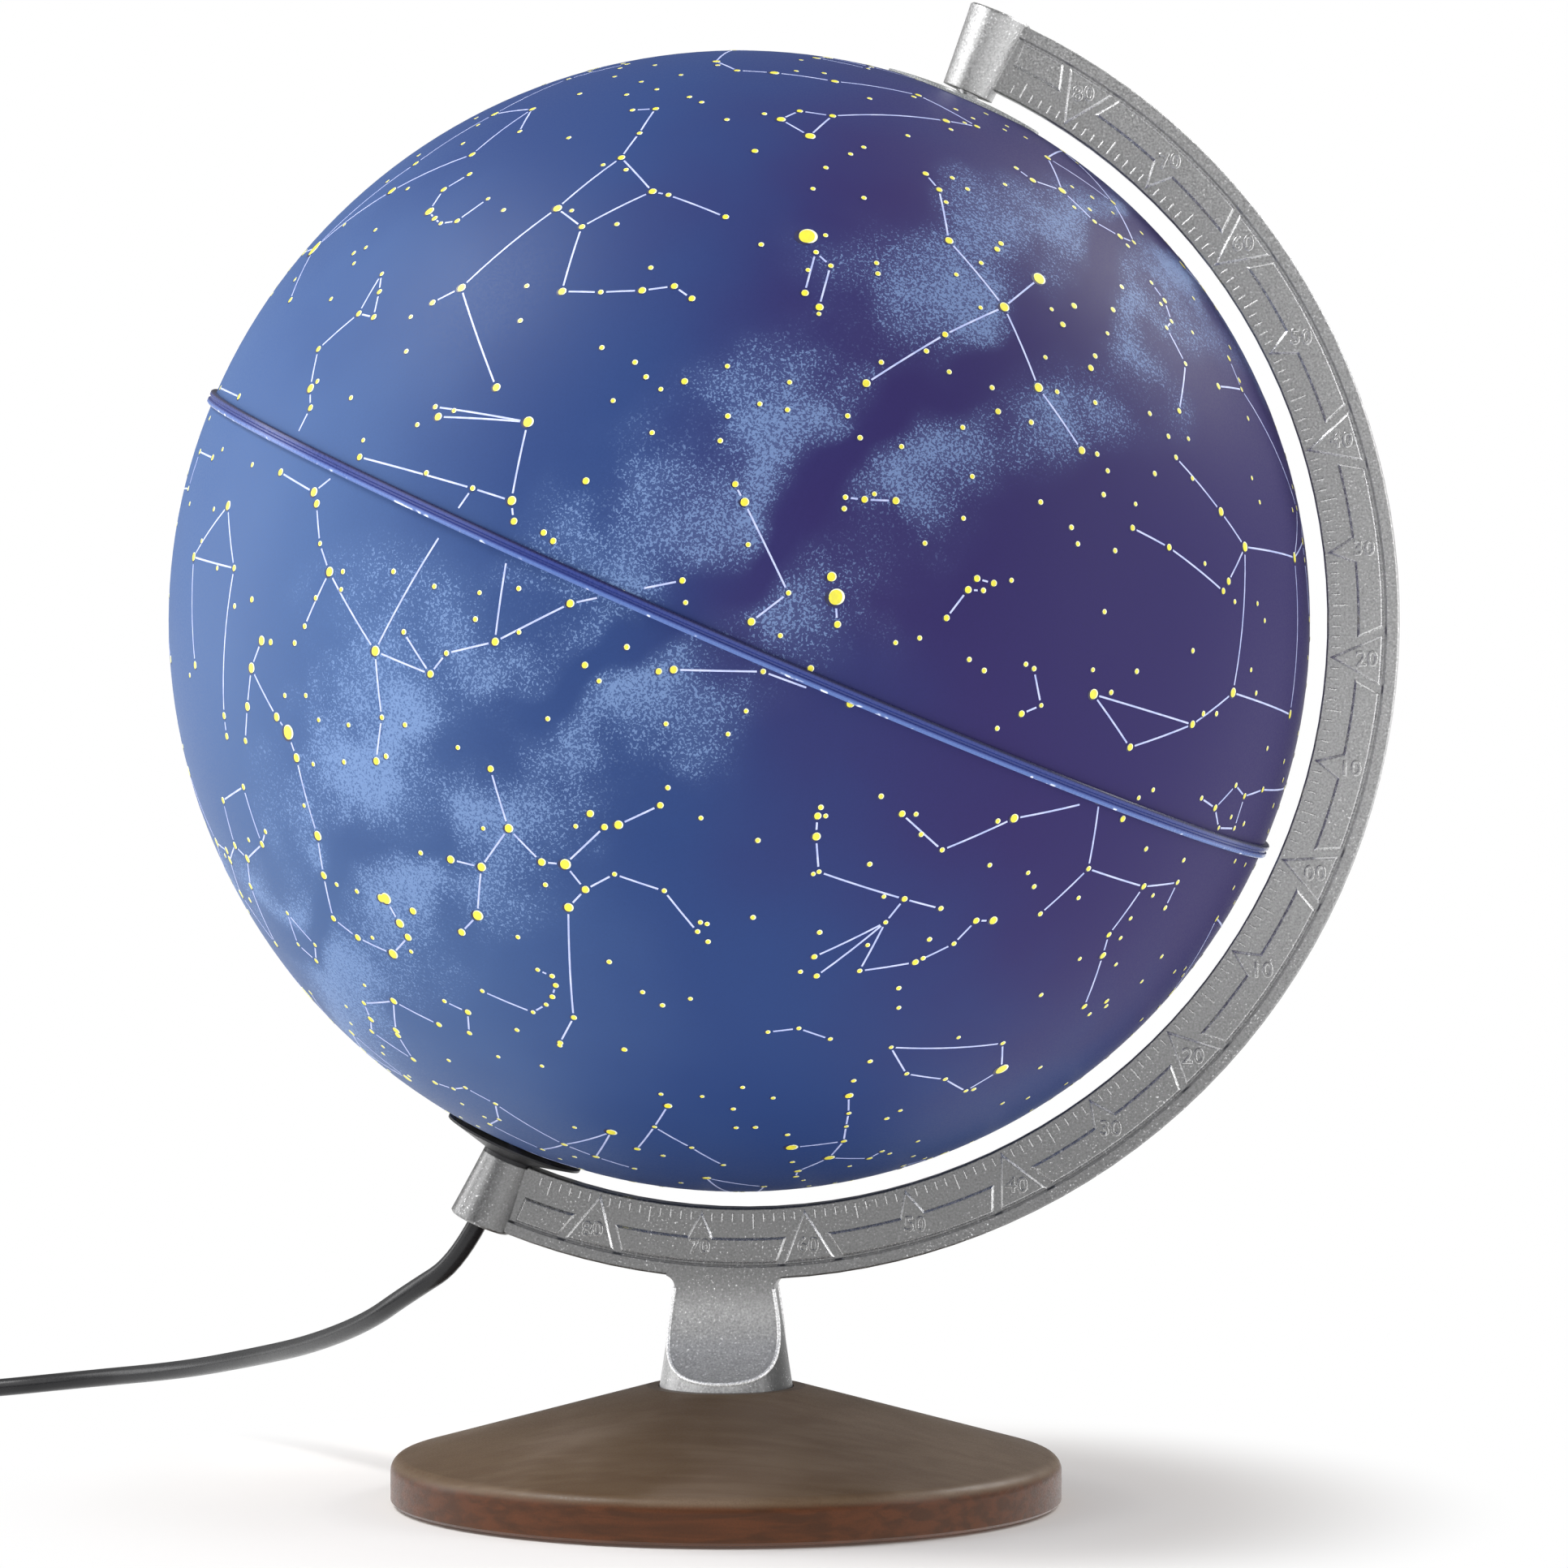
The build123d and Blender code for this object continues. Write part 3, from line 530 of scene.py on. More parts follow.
for half, hole in shellLook["holes"].items():
    verts, faces = spin(shellProfile(hole), shellLook["segments"])
    if half == "south":                                   # both halves keep the globe's axes, so the print runs through
        verts = [(x, -y, -z) for x, y, z in verts]
    ringCount = 2 * (shellLook["steps"] + 1)
    inside = [0 if (i % ringCount) < shellLook["steps"] else 1 for i in range(len(faces))]
    shell = addPiece(half + "Shell", verts, faces, "globe",
                     [finishes["skyPrint"], finishes["shellInside"]], placed=polarFrame, faceSlots=inside)
    sharpen(shell)
    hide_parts(half + "_hemisphere")

bandHalf = [(146.4, 6.0), (148.2, 6.0), (148.2, 0.75), (150.03, 0.75), (150.03, 1.7), (151.1, 1.7), (151.4, 1.4),
            (151.4, 0.5), (151.0, 0.2)]                   # flange, web and bead, above the equator
bandProfile = [(r * mm, z * mm) for r, z in bandHalf + [(r, -z) for r, z in reversed(bandHalf)]]
verts, faces = spin(bandProfile, bandLook["segments"])
band = addPiece("equatorBand", verts, faces, "globe", [finishes["bandPlastic"]], placed=polarFrame)
sharpen(band, bandLook["crease"])
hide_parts("equator_band")
print("globe shells ready")


# printed sky: each star's name, right ascension, declination and magnitude, then the lines
skyFigures = {
    "her": (
        "eta 250.7 38.9 3.5, zet 250.3 31.6 2.8, eps 255.1 30.9 3.9, pi 258.8 36.8 3.2, bet 247.6 21.5 2.8,"
        "gam 245.5 19.2 3.8, alp 258.7 14.4 3.1, del 258.8 24.8 3.1, lam 262.7 26.1 4.4, mu 266.6 27.7 3.4,"
        "xi 269.4 29.2 3.7, omi 271.9 28.8 3.8, rho 260.9 37.1 4.2, the 269.1 37.3 3.9, iot 264.9 46.0 3.8,"
        "sig 248.5 42.4 4.2, tau 244.9 46.3 3.9, phi 242.2 44.9 4.2, ome 246.4 14.0 4.6, b 275.9 21.8 3.8,"
        "c 281.4 20.5 4.2, d 281.8 18.2 4.4, e 270.4 21.6 4.3, f 272.2 20.8 4.4, g 283.7 22.6 4.6",
        "eta-zet-eps-pi-eta-sig-tau-phi zet-bet-gam bet-alp eps-del-lam-mu-xi-omi pi-rho-the"),
    "crb": (
        "the 233.2 31.4 4.1, bet 232.0 29.1 3.7, alp 233.7 26.7 2.2, gam 235.7 26.3 3.8, del 237.4 26.1 4.6,"
        "eps 239.4 26.9 4.1, iot 240.4 29.9 4.9",
        "the-bet-alp-gam-del-eps-iot"),
    "boo": (
        "alp 213.9 19.2 0, eps 221.2 27.1 2.4, del 228.9 33.3 3.5, bet 225.5 40.4 3.5, gam 218.0 38.3 3.0,"
        "rho 218.0 30.4 3.6, eta 208.7 18.4 2.7, zet 220.3 13.7 3.8, the 216.3 51.9 4.0, lam 214.1 46.1 4.2,"
        "kap 213.4 51.8 4.5, mu 231.1 37.4 4.3",
        "alp-eps-del-bet-gam-rho-alp-eta alp-zet gam-lam-the mu-bet"),
    "ser": (
        "kap 237.2 18.1 4.1, gam 239.1 15.7 3.8, bet 236.5 15.4 3.7, iot 235.4 19.7 4.5, del 233.7 10.5 3.8,"
        "alp 236.1 6.4 2.6, lam 236.6 7.4 4.4, eps 237.7 4.5 3.7, mu 237.4 -3.4 3.5, nu 260.2 -12.8 4.3,"
        "xi 264.4 -15.4 3.5, omi 265.4 -12.9 4.3, zet 270.1 -3.7 4.6, eta 275.3 -2.9 3.3, the 284.1 4.2 4.1,"
        "h 279.5 0.5 4.9",
        "kap-gam-bet-iot-kap bet-del-alp-eps-mu-oph.del nu-xi-omi oph.eta-xi omi-oph.nu oph.nu-eta-h-the"),
    "oph": (
        "alp 263.7 12.6 2.1, kap 254.4 9.4 3.2, iot 253.5 10.2 4.4, bet 265.9 4.6 2.8, gam 267.0 2.7 3.7,"
        "lam 247.7 2.0 3.8, del 243.6 -3.7 2.7, eps 244.6 -4.7 3.2, ups 246.9 -8.4 4.6, zet 249.3 -10.6 2.6,"
        "eta 257.6 -15.7 2.4, xi 260.2 -21.1 4.4, the 260.5 -25.0 3.3, nu 269.8 -9.8 3.3, sig 261.6 4.1 4.3,"
        "phi 247.8 -16.6 4.3, chi 246.8 -18.5 4.2, rho 246.4 -23.4 4.6, q 270.2 2.9 4.0, r 271.4 2.5 4.0,"
        "s 271.8 9.6 3.7, t 261.6 -24.2 4.2",
        "alp-kap alp-iot alp-bet-gam-nu lam-sig-bet lam-del-eps-ups-zet-eta sig-eta eta-xi-the zet-phi"),
    "sct": (
        "alp 278.8 -8.2 3.9, bet 281.8 -4.7 4.2, gam 277.3 -14.6 4.7, del 280.6 -9.1 4.7",
        ""),
    "sco": (
        "bet 241.4 -19.8 2.6, del 240.1 -22.6 2.3, pi 239.7 -26.1 2.9, rho 239.2 -29.2 3.9, sig 245.3 -25.6 2.9,"
        "alp 247.4 -26.4 1.0, tau 249.0 -28.2 2.8, eps 252.5 -34.3 2.3, mu 253.0 -38.0 3.0, zet 253.6 -42.4 3.6,"
        "eta 258.0 -43.2 3.3, the 264.3 -43.0 1.9, iot 266.9 -40.1 3.0, kap 265.6 -39.0 2.4, lam 263.4 -37.1 1.6,"
        "ups 262.7 -37.3 2.7, nu 243.0 -19.5 4.0, g 267.5 -37.0 3.2",
        "bet-del-pi-rho del-sig-alp-tau-eps-mu-zet-eta-the-iot-kap-lam-ups"),
    "lib": (
        "alp 222.7 -16.0 2.8, bet 229.3 -9.4 2.6, gam 233.9 -14.8 3.9, sig 226.0 -25.3 3.3, ups 234.3 -28.1 3.6,"
        "tau 234.7 -29.8 3.7, the 238.5 -16.7 4.1",
        "sig-alp-bet-gam-ups-tau alp-gam"),
    "lup": (
        "alp 220.5 -47.4 2.3, bet 224.6 -43.1 2.7, gam 233.8 -41.2 2.8, del 230.3 -40.6 3.2, eps 230.7 -44.7 3.4,"
        "zet 228.1 -52.1 3.4, eta 240.0 -38.4 3.4, phi 230.5 -36.3 3.6, pi 226.3 -47.1 3.9, chi 237.7 -33.6 3.9,"
        "the 241.6 -36.8 4.2",
        "alp-bet-del-gam-eta-chi-phi-del eta-the alp-zet-eps-gam"),
    "nor": (
        "gam 245.0 -50.2 4.0, eps 246.8 -47.6 4.5, eta 240.8 -49.2 4.7, del 241.6 -45.2 4.7",
        "gam-eps-del-eta-gam"),
    "ara": (
        "alp 263.0 -49.9 2.9, bet 261.3 -55.5 2.9, gam 261.3 -56.4 3.3, del 262.8 -60.7 3.6, zet 254.7 -56.0 3.1,"
        "eps 254.9 -53.2 4.1, eta 252.4 -59.0 3.8, the 271.7 -50.1 3.7",
        "the-alp-bet-gam-del-eta-zet-eps-alp"),
    "sgr": (
        "gam 271.5 -30.4 3.0, del 275.2 -29.8 2.7, eps 276.0 -34.4 1.9, eta 274.4 -36.8 3.1, lam 277.0 -25.4 2.8,"
        "mu 273.4 -21.1 3.8, phi 281.4 -27.0 3.2, sig 283.8 -26.3 2.0, tau 286.7 -27.7 3.3, zet 285.7 -29.9 2.6,"
        "nu 283.5 -22.7 4.8, xi 284.4 -21.1 3.5, omi 286.2 -21.7 3.8, pi 287.4 -21.0 2.9, rho 290.4 -17.8 3.9,"
        "ups 290.4 -16.0 4.5, psi 288.9 -25.3 4.7, h 294.2 -24.9 4.6, i 299.2 -27.2 4.5, ome 299.0 -26.3 4.7,"
        "j 299.7 -26.2 4.8, k 300.7 -27.7 4.5, alp 291.0 -40.6 4.0, bet 290.7 -44.5 4.0, b 290.8 -44.9 4.3,"
        "iot 298.8 -41.9 4.1, the 299.9 -35.3 4.4",
        "gam-del-lam-mu del-eps-eta lam-phi-sig-tau-zet sig-omi-pi-rho tau-psi-h-i zet-alp-bet"),
    "cra": (
        "eps 284.7 -37.1 4.8, gam 286.6 -37.1 4.2, alp 287.4 -37.9 4.1, bet 287.5 -39.3 4.1, del 287.1 -40.5 4.6,"
        "zet 285.8 -42.1 4.7, the 278.4 -42.3 4.6",
        "eps-gam-alp-bet-del-zet-the"),
    "cap": (
        "a 304.4 -12.0 4.3, alp 304.5 -12.9 3.6, bet 305.3 -14.8 3.1, rho 307.2 -17.8 4.8, psi 311.5 -25.3 4.1,"
        "ome 313.0 -26.9 4.1, x 316.8 -25.0 4.5, zet 321.7 -22.4 3.7, y 322.2 -21.8 4.5, eps 324.3 -19.5 4.5,"
        "del 326.8 -16.1 2.9, gam 325.0 -16.7 3.7, iot 320.6 -16.8 4.3, the 316.5 -17.2 4.1, eta 316.1 -19.9 4.8,"
        "nu 305.2 -12.6 4.8, pi 306.8 -18.2 5.0",
        "alp-bet-rho-the-iot the-eta-psi eta-ome eta-x-zet-eps-gam-del"),
    "aqr": (
        "eps 311.9 -9.5 3.8, mu 313.2 -9.0 4.7, nu 317.4 -11.4 4.5, bet 322.9 -5.6 2.9, alp 331.4 -0.3 2.9,"
        "the 334.2 -7.8 4.2, iot 331.6 -13.9 4.3, gam 335.4 -1.4 3.8, zet 337.2 0.0 3.6, pi 336.3 1.4 4.7,"
        "eta 338.8 -0.1 4.0, lam 343.2 -7.6 3.7, tau 342.4 -13.6 4.0, del 343.7 -15.8 3.3, h 347.4 -21.2 3.7,"
        "i 350.7 -20.1 4.0, j 351.5 -20.6 4.4, phi 348.6 -6.0 4.2, psi 349.0 -9.1 4.2, ome 355.0 -14.2 4.5",
        "eps-nu-bet-alp-gam-zet-eta alp-the-lam-tau-del-h the-iot zet-pi lam-phi-psi"),
    "psa": (
        "alp 344.4 -29.6 1.2, eps 340.2 -27.0 4.2, lam 333.6 -27.8 5.0, the 326.9 -30.9 4.8, iot 326.2 -33.0 4.3,"
        "mu 332.1 -33.0 4.5, bet 337.9 -32.3 4.3, gam 343.1 -32.9 4.5, del 344.0 -32.5 4.2",
        "alp-eps-the-mu-bet-gam-alp"),
    "gru": (
        "alp 332.1 -47.0 1.7, bet 340.7 -46.9 2.1, gam 328.5 -37.4 3.0, del 337.3 -43.5 4.0, lam 331.5 -39.5 4.5,"
        "eps 342.1 -51.3 3.5, zet 345.2 -52.8 4.1, iot 347.6 -45.2 3.9, the 346.7 -43.5 4.3, mu 333.9 -41.3 4.8",
        "gam-lam-mu-del-bet-eps-zet alp-del bet-iot-the"),
    "mic": (
        "gam 315.3 -32.3 4.7, eps 319.5 -32.2 4.7, alp 312.5 -33.8 4.9, the 320.2 -40.8 4.8, iot 312.1 -44.0 5.0",
        "alp-gam-eps"),
    "ind": (
        "alp 309.4 -47.3 3.1, bet 313.7 -58.5 3.7, the 320.0 -53.4 4.4, eta 311.0 -51.9 4.5, del 329.5 -55.0 4.4",
        "alp-eta-bet eta-the-del"),
    "tel": (
        "alp 276.7 -46.0 3.5, zet 277.2 -49.1 4.1, eps 272.8 -46.0 4.5",
        "eps-alp-zet"),
    "pav": (
        "alp 306.4 -56.7 1.9, bet 311.2 -66.2 3.4, del 302.2 -66.2 3.6, gam 321.6 -65.4 4.2, eps 300.1 -72.9 4.0,"
        "zet 280.8 -71.4 4.0, eta 266.4 -64.7 3.6, kap 284.2 -67.2 4.4, lam 283.1 -62.2 4.2, xi 275.8 -61.5 4.4,"
        "pi 272.1 -63.7 4.3",
        "alp-bet-gam alp-del-lam-xi-pi-eta del-bet del-eps-zet-kap-lam"),
    "aql": (
        "alp 297.7 8.9 0.8, gam 296.6 10.6 2.7, bet 298.8 6.4 3.7, zet 286.4 13.9 3.0, eps 284.9 15.1 4.0,"
        "del 291.4 3.1 3.4, lam 286.6 -4.9 3.4, the 302.8 -0.8 3.2, eta 298.1 1.0 3.9, iot 294.2 -1.3 4.4,"
        "k 285.4 -5.7 4.0, mu 293.5 7.4 4.5",
        "eps-zet-mu-del-iot gam-alp-bet k-lam-iot-the-eta"),
    "sge": (
        "alp 295.0 18.0 4.4, bet 295.3 17.0 4.4, del 296.8 18.5 3.8, gam 299.7 19.5 3.5, zet 297.5 19.3 4.8",
        "alp-del-gam"),
    "del": (
        "eps 308.3 11.3 4.0, bet 309.4 14.6 3.6, alp 309.9 15.9 3.8, gam 311.7 16.1 3.9, del 310.9 15.1 4.4",
        "eps-bet-alp-gam-del-bet"),
    "equ": (
        "alp 319.0 5.2 3.9, gam 317.6 10.1 4.7, del 318.6 10.0 4.5, bet 320.7 6.8 5",
        "alp-bet-del-gam"),
    "cyg": (
        "alp 310.4 45.3 1.3, gam 305.6 40.3 2.2, eta 299.1 35.1 3.9, bet 292.7 28.0 3.1, chi 297.6 32.9 4.2,"
        "del 296.2 45.1 2.9, iot 292.4 51.7 3.8, kap 289.3 53.4 3.8, the 294.1 50.2 4.5, eps 311.6 34.0 2.5,"
        "zet 318.2 30.2 3.2, nu 314.3 41.2 3.9, xi 316.2 43.9 3.7, tau 318.7 38.0 3.7, sig 319.4 39.4 4.2,"
        "rho 323.5 45.6 4.0, omi 303.4 46.7 3.8, o 303.9 47.7 4.0, pi 326.7 49.3 4.2, ups 319.5 34.9 4.4,"
        "w 311.4 30.7 4.2, v 307.3 30.4 4.0, u 306.0 32.2 4.4",
        "kap-iot-del-gam-eps-zet alp-gam-eta-bet"),
    "lyr": (
        "alp 279.2 38.8 0, zet 281.2 37.6 4.3, del 283.6 36.9 4.3, gam 284.7 32.7 3.2, bet 282.5 33.4 3.5,"
        "eps 281.1 39.7 4.7, eta 288.4 39.1 4.4, the 289.1 38.1 4.3, kap 275.0 36.1 4.3, lam 285.0 32.1 4.9",
        "alp-zet-del-gam zet-bet alp-eps"),
    "vul": (
        "alp 292.2 24.7 4.4, b 298.4 24.1 4.6, c 303.9 27.8 4.5",
        ""),
    "dra": (
        "gam 269.2 51.5 2.2, bet 262.6 52.3 2.8, nu 263.1 55.2 4.1, xi 268.4 56.9 3.7, del 288.1 67.7 3.1,"
        "eps 297.0 70.3 3.8, chi 275.3 72.7 3.6, phi 275.2 71.3 4.2, zet 257.2 65.7 3.2, eta 246.0 61.5 2.7,"
        "the 240.5 58.6 4.0, iot 231.2 59.0 3.3, alp 211.1 64.4 3.7, kap 188.4 69.8 3.9, lam 172.9 69.3 3.8,"
        "pi 290.2 65.7 4.6, tau 288.9 73.4 4.5, sig 293.1 69.7 4.7, omi 282.8 59.4 4.6",
        "gam-bet-nu-xi-gam xi-del-eps-chi-zet-eta-the-iot-alp-kap-lam"),
    "umi": (
        "alp 38.0 88.6 2.0, del 263.1 86.6 4.4, eps 251.5 82.0 4.2, zet 236.0 77.8 4.3, eta 244.4 75.8 5,"
        "bet 222.7 74.2 2.1, gam 230.2 71.8 3.0",
        "del-eps-zet-eta-gam-bet-zet"),
    "cep": (
        "alp 319.6 62.6 2.5, bet 322.2 70.6 3.2, gam 354.8 77.6 3.2, iot 342.4 66.2 3.5, zet 332.7 58.2 3.4,"
        "del 337.3 58.4 4.1, eps 333.8 57.0 4.2, mu 325.9 58.8 4.1, eta 311.3 61.8 3.4, the 307.4 63.0 4.2,"
        "nu 326.4 61.1 4.3, xi 331.0 64.6 4.3, kap 302.2 77.7 4.4",
        "the-eta-alp-bet-gam-iot-bet iot-del-zet-mu-alp"),
    "lac": (
        "alp 337.8 50.3 3.8, bet 335.9 52.2 4.4, e 337.4 47.7 4.3, a 333.9 37.7 4.1, d 336.1 49.5 4.6,"
        "b 335.3 46.5 4.5, f 337.6 43.1 4.5",
        "bet-alp-e-b-f-a"),
    "peg": (
        "eps 326.0 9.9 2.4, the 332.6 6.2 3.5, zet 340.4 10.8 3.4, xi 341.7 12.2 4.2, alp 346.2 15.2 2.5,"
        "bet 345.9 28.1 2.4, gam 3.3 15.2 2.8, eta 340.8 30.2 2.9, mu 342.5 24.6 3.5, lam 341.6 23.6 3.9,"
        "iot 331.8 25.3 3.8, kap 326.2 25.6 4.1, pi 332.5 33.2 4.3",
        "eps-the-zet-eps zet-alp-bet alp-gam-and.alp-bet bet-eta-pi bet-mu-lam-iot-kap"),
    "and": (
        "alp 2.1 29.1 2.1, del 9.8 30.9 3.3, bet 17.4 35.6 2.1, gam 31.0 42.3 2.1, mu 14.2 38.5 3.9,"
        "nu 12.5 41.1 4.5, pi 9.2 33.7 4.3, omi 345.5 42.3 3.6, lam 354.4 46.5 3.8, iot 354.5 43.3 4.3,"
        "kap 355.1 44.3 4.1, h 24.5 48.6 3.6, zet 11.8 24.3 4.1, eps 9.6 29.3 4.4",
        "alp-del-bet-gam bet-mu-nu-h alp-pi-iot-lam iot-omi del-eps-zet"),
    "psc": (
        "gam 349.3 3.3 3.7, kap 351.7 1.3 4.9, lam 355.5 1.8 4.5, iot 355.0 5.6 4.1, the 352.0 6.4 4.3,"
        "ome 359.8 6.9 4.0, del 12.2 7.6 4.4, eps 15.7 7.9 4.3, mu 22.5 6.1 4.8, nu 25.4 5.5 4.5, alp 30.5 2.8 3.8,"
        "omi 26.3 9.2 4.3, eta 22.9 15.3 3.6, phi 18.4 24.6 4.7, ups 19.9 27.3 4.8, tau 17.9 30.1 4.5,"
        "bet 346.0 3.8 4.5",
        "bet-gam-kap-lam-iot-the-gam iot-ome-del-eps-mu-nu-alp-omi-eta-phi-ups-tau"),
    "cas": (
        "alp 10.1 56.5 2.2, bet 2.3 59.1 2.3, gam 14.2 60.7 2.2, del 21.5 60.2 2.7, eps 28.6 63.7 3.4,"
        "eta 12.3 57.8 3.4, zet 9.2 53.9 3.7, kap 8.3 62.9 4.2, iot 37.3 67.4 4.5",
        "bet-alp-gam-del-eps"),
    "cet": (
        "bet 10.9 -18.0 2.0, alp 45.6 4.1 2.5, gam 40.8 3.2 3.5, del 39.9 0.3 4.1, omi 34.8 -3.0 3.5,"
        "zet 27.9 -10.3 3.7, the 21.0 -8.2 3.6, eta 17.1 -10.2 3.4, iot 4.9 -8.8 3.6, tau 26.0 -15.9 3.5,"
        "xi 37.0 8.5 4.3, mu 41.2 10.1 4.3, lam 44.9 8.9 4.7, ups 30.0 -21.1 4.0",
        "iot-eta-the-zet-omi-del-gam-alp-lam-mu-xi-gam iot-bet-tau-zet"),
    "per": (
        "alp 51.1 49.9 1.8, bet 47.0 41.0 2.1, gam 46.2 53.5 2.9, eta 42.7 55.9 3.8, del 55.7 47.8 3.0,"
        "eps 59.5 40.0 2.9, zet 58.5 31.9 2.9, xi 59.7 35.8 4.0, kap 47.4 44.9 3.8, rho 46.3 38.8 3.4,"
        "omi 56.1 32.3 3.8, nu 56.3 42.6 3.8",
        "eta-gam-alp-del-nu-eps-xi-zet-omi alp-kap-bet-rho"),
    "ari": (
        "alp 31.8 23.5 2.0, bet 28.7 20.8 2.6, gam 28.4 19.3 3.9, c 42.5 27.3 3.6, tri 28.3 29.6 3.4,"
        "tribet 32.4 35.0 3.0, trigam 34.3 33.8 4.0",
        "gam-bet-alp-c tri-tribet-trigam-tri"),
    "tau": (
        "alp 69.0 16.5 0.9, bet 81.6 28.6 1.7, zet 84.4 21.1 3.0, eps 67.2 19.2 3.5, gam 65.0 15.6 3.7,"
        "del 65.7 17.5 3.8, lam 60.2 12.5 3.5, omi 51.2 9.0 3.6, xi 51.8 9.7 3.7, eta 56.9 24.1 2.9,"
        "tau 70.6 23.0 4.3, p 56.2 24.6 3.7, q 57.4 23.7 3.9, r 55.9 23.8 4.2",
        "omi-lam-gam-alp-zet gam-del-eps-tau-bet xi-omi"),
    "aur": (
        "alp 79.2 46.0 0.1, bet 89.9 44.9 1.9, the 89.9 37.2 2.6, iot 74.2 33.2 2.7, eps 75.5 43.8 3.0,"
        "eta 76.6 41.2 3.2, del 89.9 54.3 3.7",
        "alp-bet-the-tau.bet-iot-eta-eps-alp-del-bet"),
    "gem": (
        "alp 113.6 31.9 1.6, bet 116.3 28.0 1.1, gam 99.4 16.4 1.9, mu 95.7 22.5 2.9, eps 101.0 25.1 3.0,"
        "eta 93.7 22.5 3.3, xi 101.3 12.9 3.3, del 110.0 22.0 3.5, zet 106.0 20.6 3.9, lam 109.5 16.5 3.6,"
        "kap 116.1 24.4 3.6, the 103.2 34.0 3.6, tau 107.8 30.2 4.4, ups 114.0 26.9 4.1",
        "eta-mu-eps-tau-alp-ups-bet ups-del-zet-gam del-lam-xi ups-kap tau-the"),
    "ori": (
        "alp 88.8 7.4 0.5, bet 78.6 -8.2 0.1, gam 81.3 6.3 1.6, del 83.0 -0.3 2.2, eps 84.1 -1.2 1.7,"
        "zet 85.2 -1.9 1.8, kap 86.9 -9.7 2.1, lam 83.8 9.9 3.4, iot 83.9 -5.9 2.8, eta 81.1 -2.4 3.4,"
        "p 72.5 7.0 3.2, q 72.8 5.6 3.7, r 73.6 2.4 3.7, s 72.7 8.9 4.4, o 74.1 13.5 4.1, mu 90.6 9.6 4.1,"
        "xi 93.0 14.2 4.5, nu 91.9 14.8 4.4, chi 88.6 20.3 4.4",
        "alp-lam-gam-del-eps-zet-alp del-eta-bet-kap-zet gam-p-q-r p-s-o alp-mu-xi-nu-chi eps-iot"),
    "lep": (
        "alp 83.2 -17.8 2.6, bet 82.1 -20.8 2.8, eps 76.4 -22.4 3.2, mu 78.2 -16.2 3.3, gam 86.1 -22.4 3.6,"
        "zet 86.7 -14.8 3.5, eta 89.1 -14.2 3.7, del 87.8 -20.9 3.8, col 84.9 -34.1 2.6, colbet 87.7 -35.8 3.1",
        "eps-bet-alp-mu-eps alp-zet-eta-del-gam-bet col-colbet"),
    "cma": (
        "alp 101.3 -16.7 -1, bet 95.7 -18.0 2.0, del 107.1 -26.4 1.8, eps 104.7 -29.0 1.5, eta 111.0 -29.3 2.4,"
        "zet 95.1 -30.1 3.0, o 105.8 -23.8 3.0, gam 105.9 -15.6 4.1, cmi 114.8 5.2 0.4, cmibet 111.8 8.3 2.9",
        "bet-alp-o-del-eta del-eps-zet alp-gam cmi-cmibet"),
    "mon": (
        "alp 115.3 -9.6 3.9, bet 97.2 -7.0 3.7, gam 93.7 -6.3 4.0, zet 122.1 -3.0 4.3, del 108.0 -0.5 4.2,"
        "eps 95.9 4.6 4.3",
        "gam-bet-del-zet-alp del-eps"),
    "pup": (
        "zet 120.9 -40.0 2.2, pi 109.3 -37.1 2.7, rho 121.9 -24.3 2.8, tau 102.5 -50.6 2.9, nu 99.4 -43.2 3.2,"
        "sig 112.3 -43.3 3.3, xi 117.3 -24.9 3.3",
        "rho-xi-zet-sig-tau-nu-pi-xi"),
    "vel": (
        "gam 122.4 -47.3 1.8, del 131.2 -54.7 2.0, kap 140.5 -55.0 2.5, lam 137.0 -43.4 2.2, mu 161.7 -49.4 2.7,"
        "phi 149.2 -54.6 3.5, alp 96.0 -52.7 -1, bet 138.3 -69.7 1.7, eps 125.6 -59.5 1.9, iot 139.3 -59.3 2.2,"
        "the 160.7 -64.4 2.8, ups 146.8 -65.1 3.0, ome 153.4 -70.0 3.3",
        "gam-lam-mu-phi-kap-del-gam alp-eps-iot-ups-ome-bet iot-the-ome"),
    "cru": (
        "alp 186.6 -63.1 0.8, bet 191.9 -59.7 1.3, gam 187.8 -57.1 1.6, del 183.8 -58.7 2.8",
        "alp-gam bet-del"),
    "cen": (
        "alp 219.9 -60.8 0, bet 211.0 -60.4 0.6, eps 205.0 -53.5 2.3, zet 208.9 -47.3 2.6, the 211.7 -36.4 2.1,"
        "eta 218.9 -42.2 2.3, gam 190.4 -49.0 2.2, del 182.1 -50.7 2.6, iot 200.1 -36.7 2.8, lam 173.9 -63.0 3.1,"
        "kap 224.8 -42.1 3.1, nu 207.4 -41.7 3.4",
        "alp-eps-zet-nu-the-eta-kap bet-eps-gam-del-lam nu-iot zet-eta"),
    "leo": (
        "alp 152.1 12.0 1.4, eta 151.8 16.8 3.5, gam 155.0 19.8 2.1, zet 154.2 23.4 3.4, mu 148.2 26.0 3.9,"
        "eps 146.5 23.8 3.0, del 168.5 20.5 2.6, the 168.6 15.4 3.3, bet 177.3 14.6 2.1",
        "alp-eta-gam-zet-mu-eps gam-del-bet-the-del the-alp"),
    "vir": (
        "alp 201.3 -11.2 1.0, gam 190.4 -1.4 2.7, del 193.9 3.4 3.4, eps 195.5 11.0 2.8, zet 203.7 -0.6 3.4,"
        "eta 185.0 -0.7 3.9, bet 177.7 1.8 3.6, iot 214.0 -6.0 4.1, mu 220.8 -5.7 3.9, kap 213.2 -10.3 4.2,"
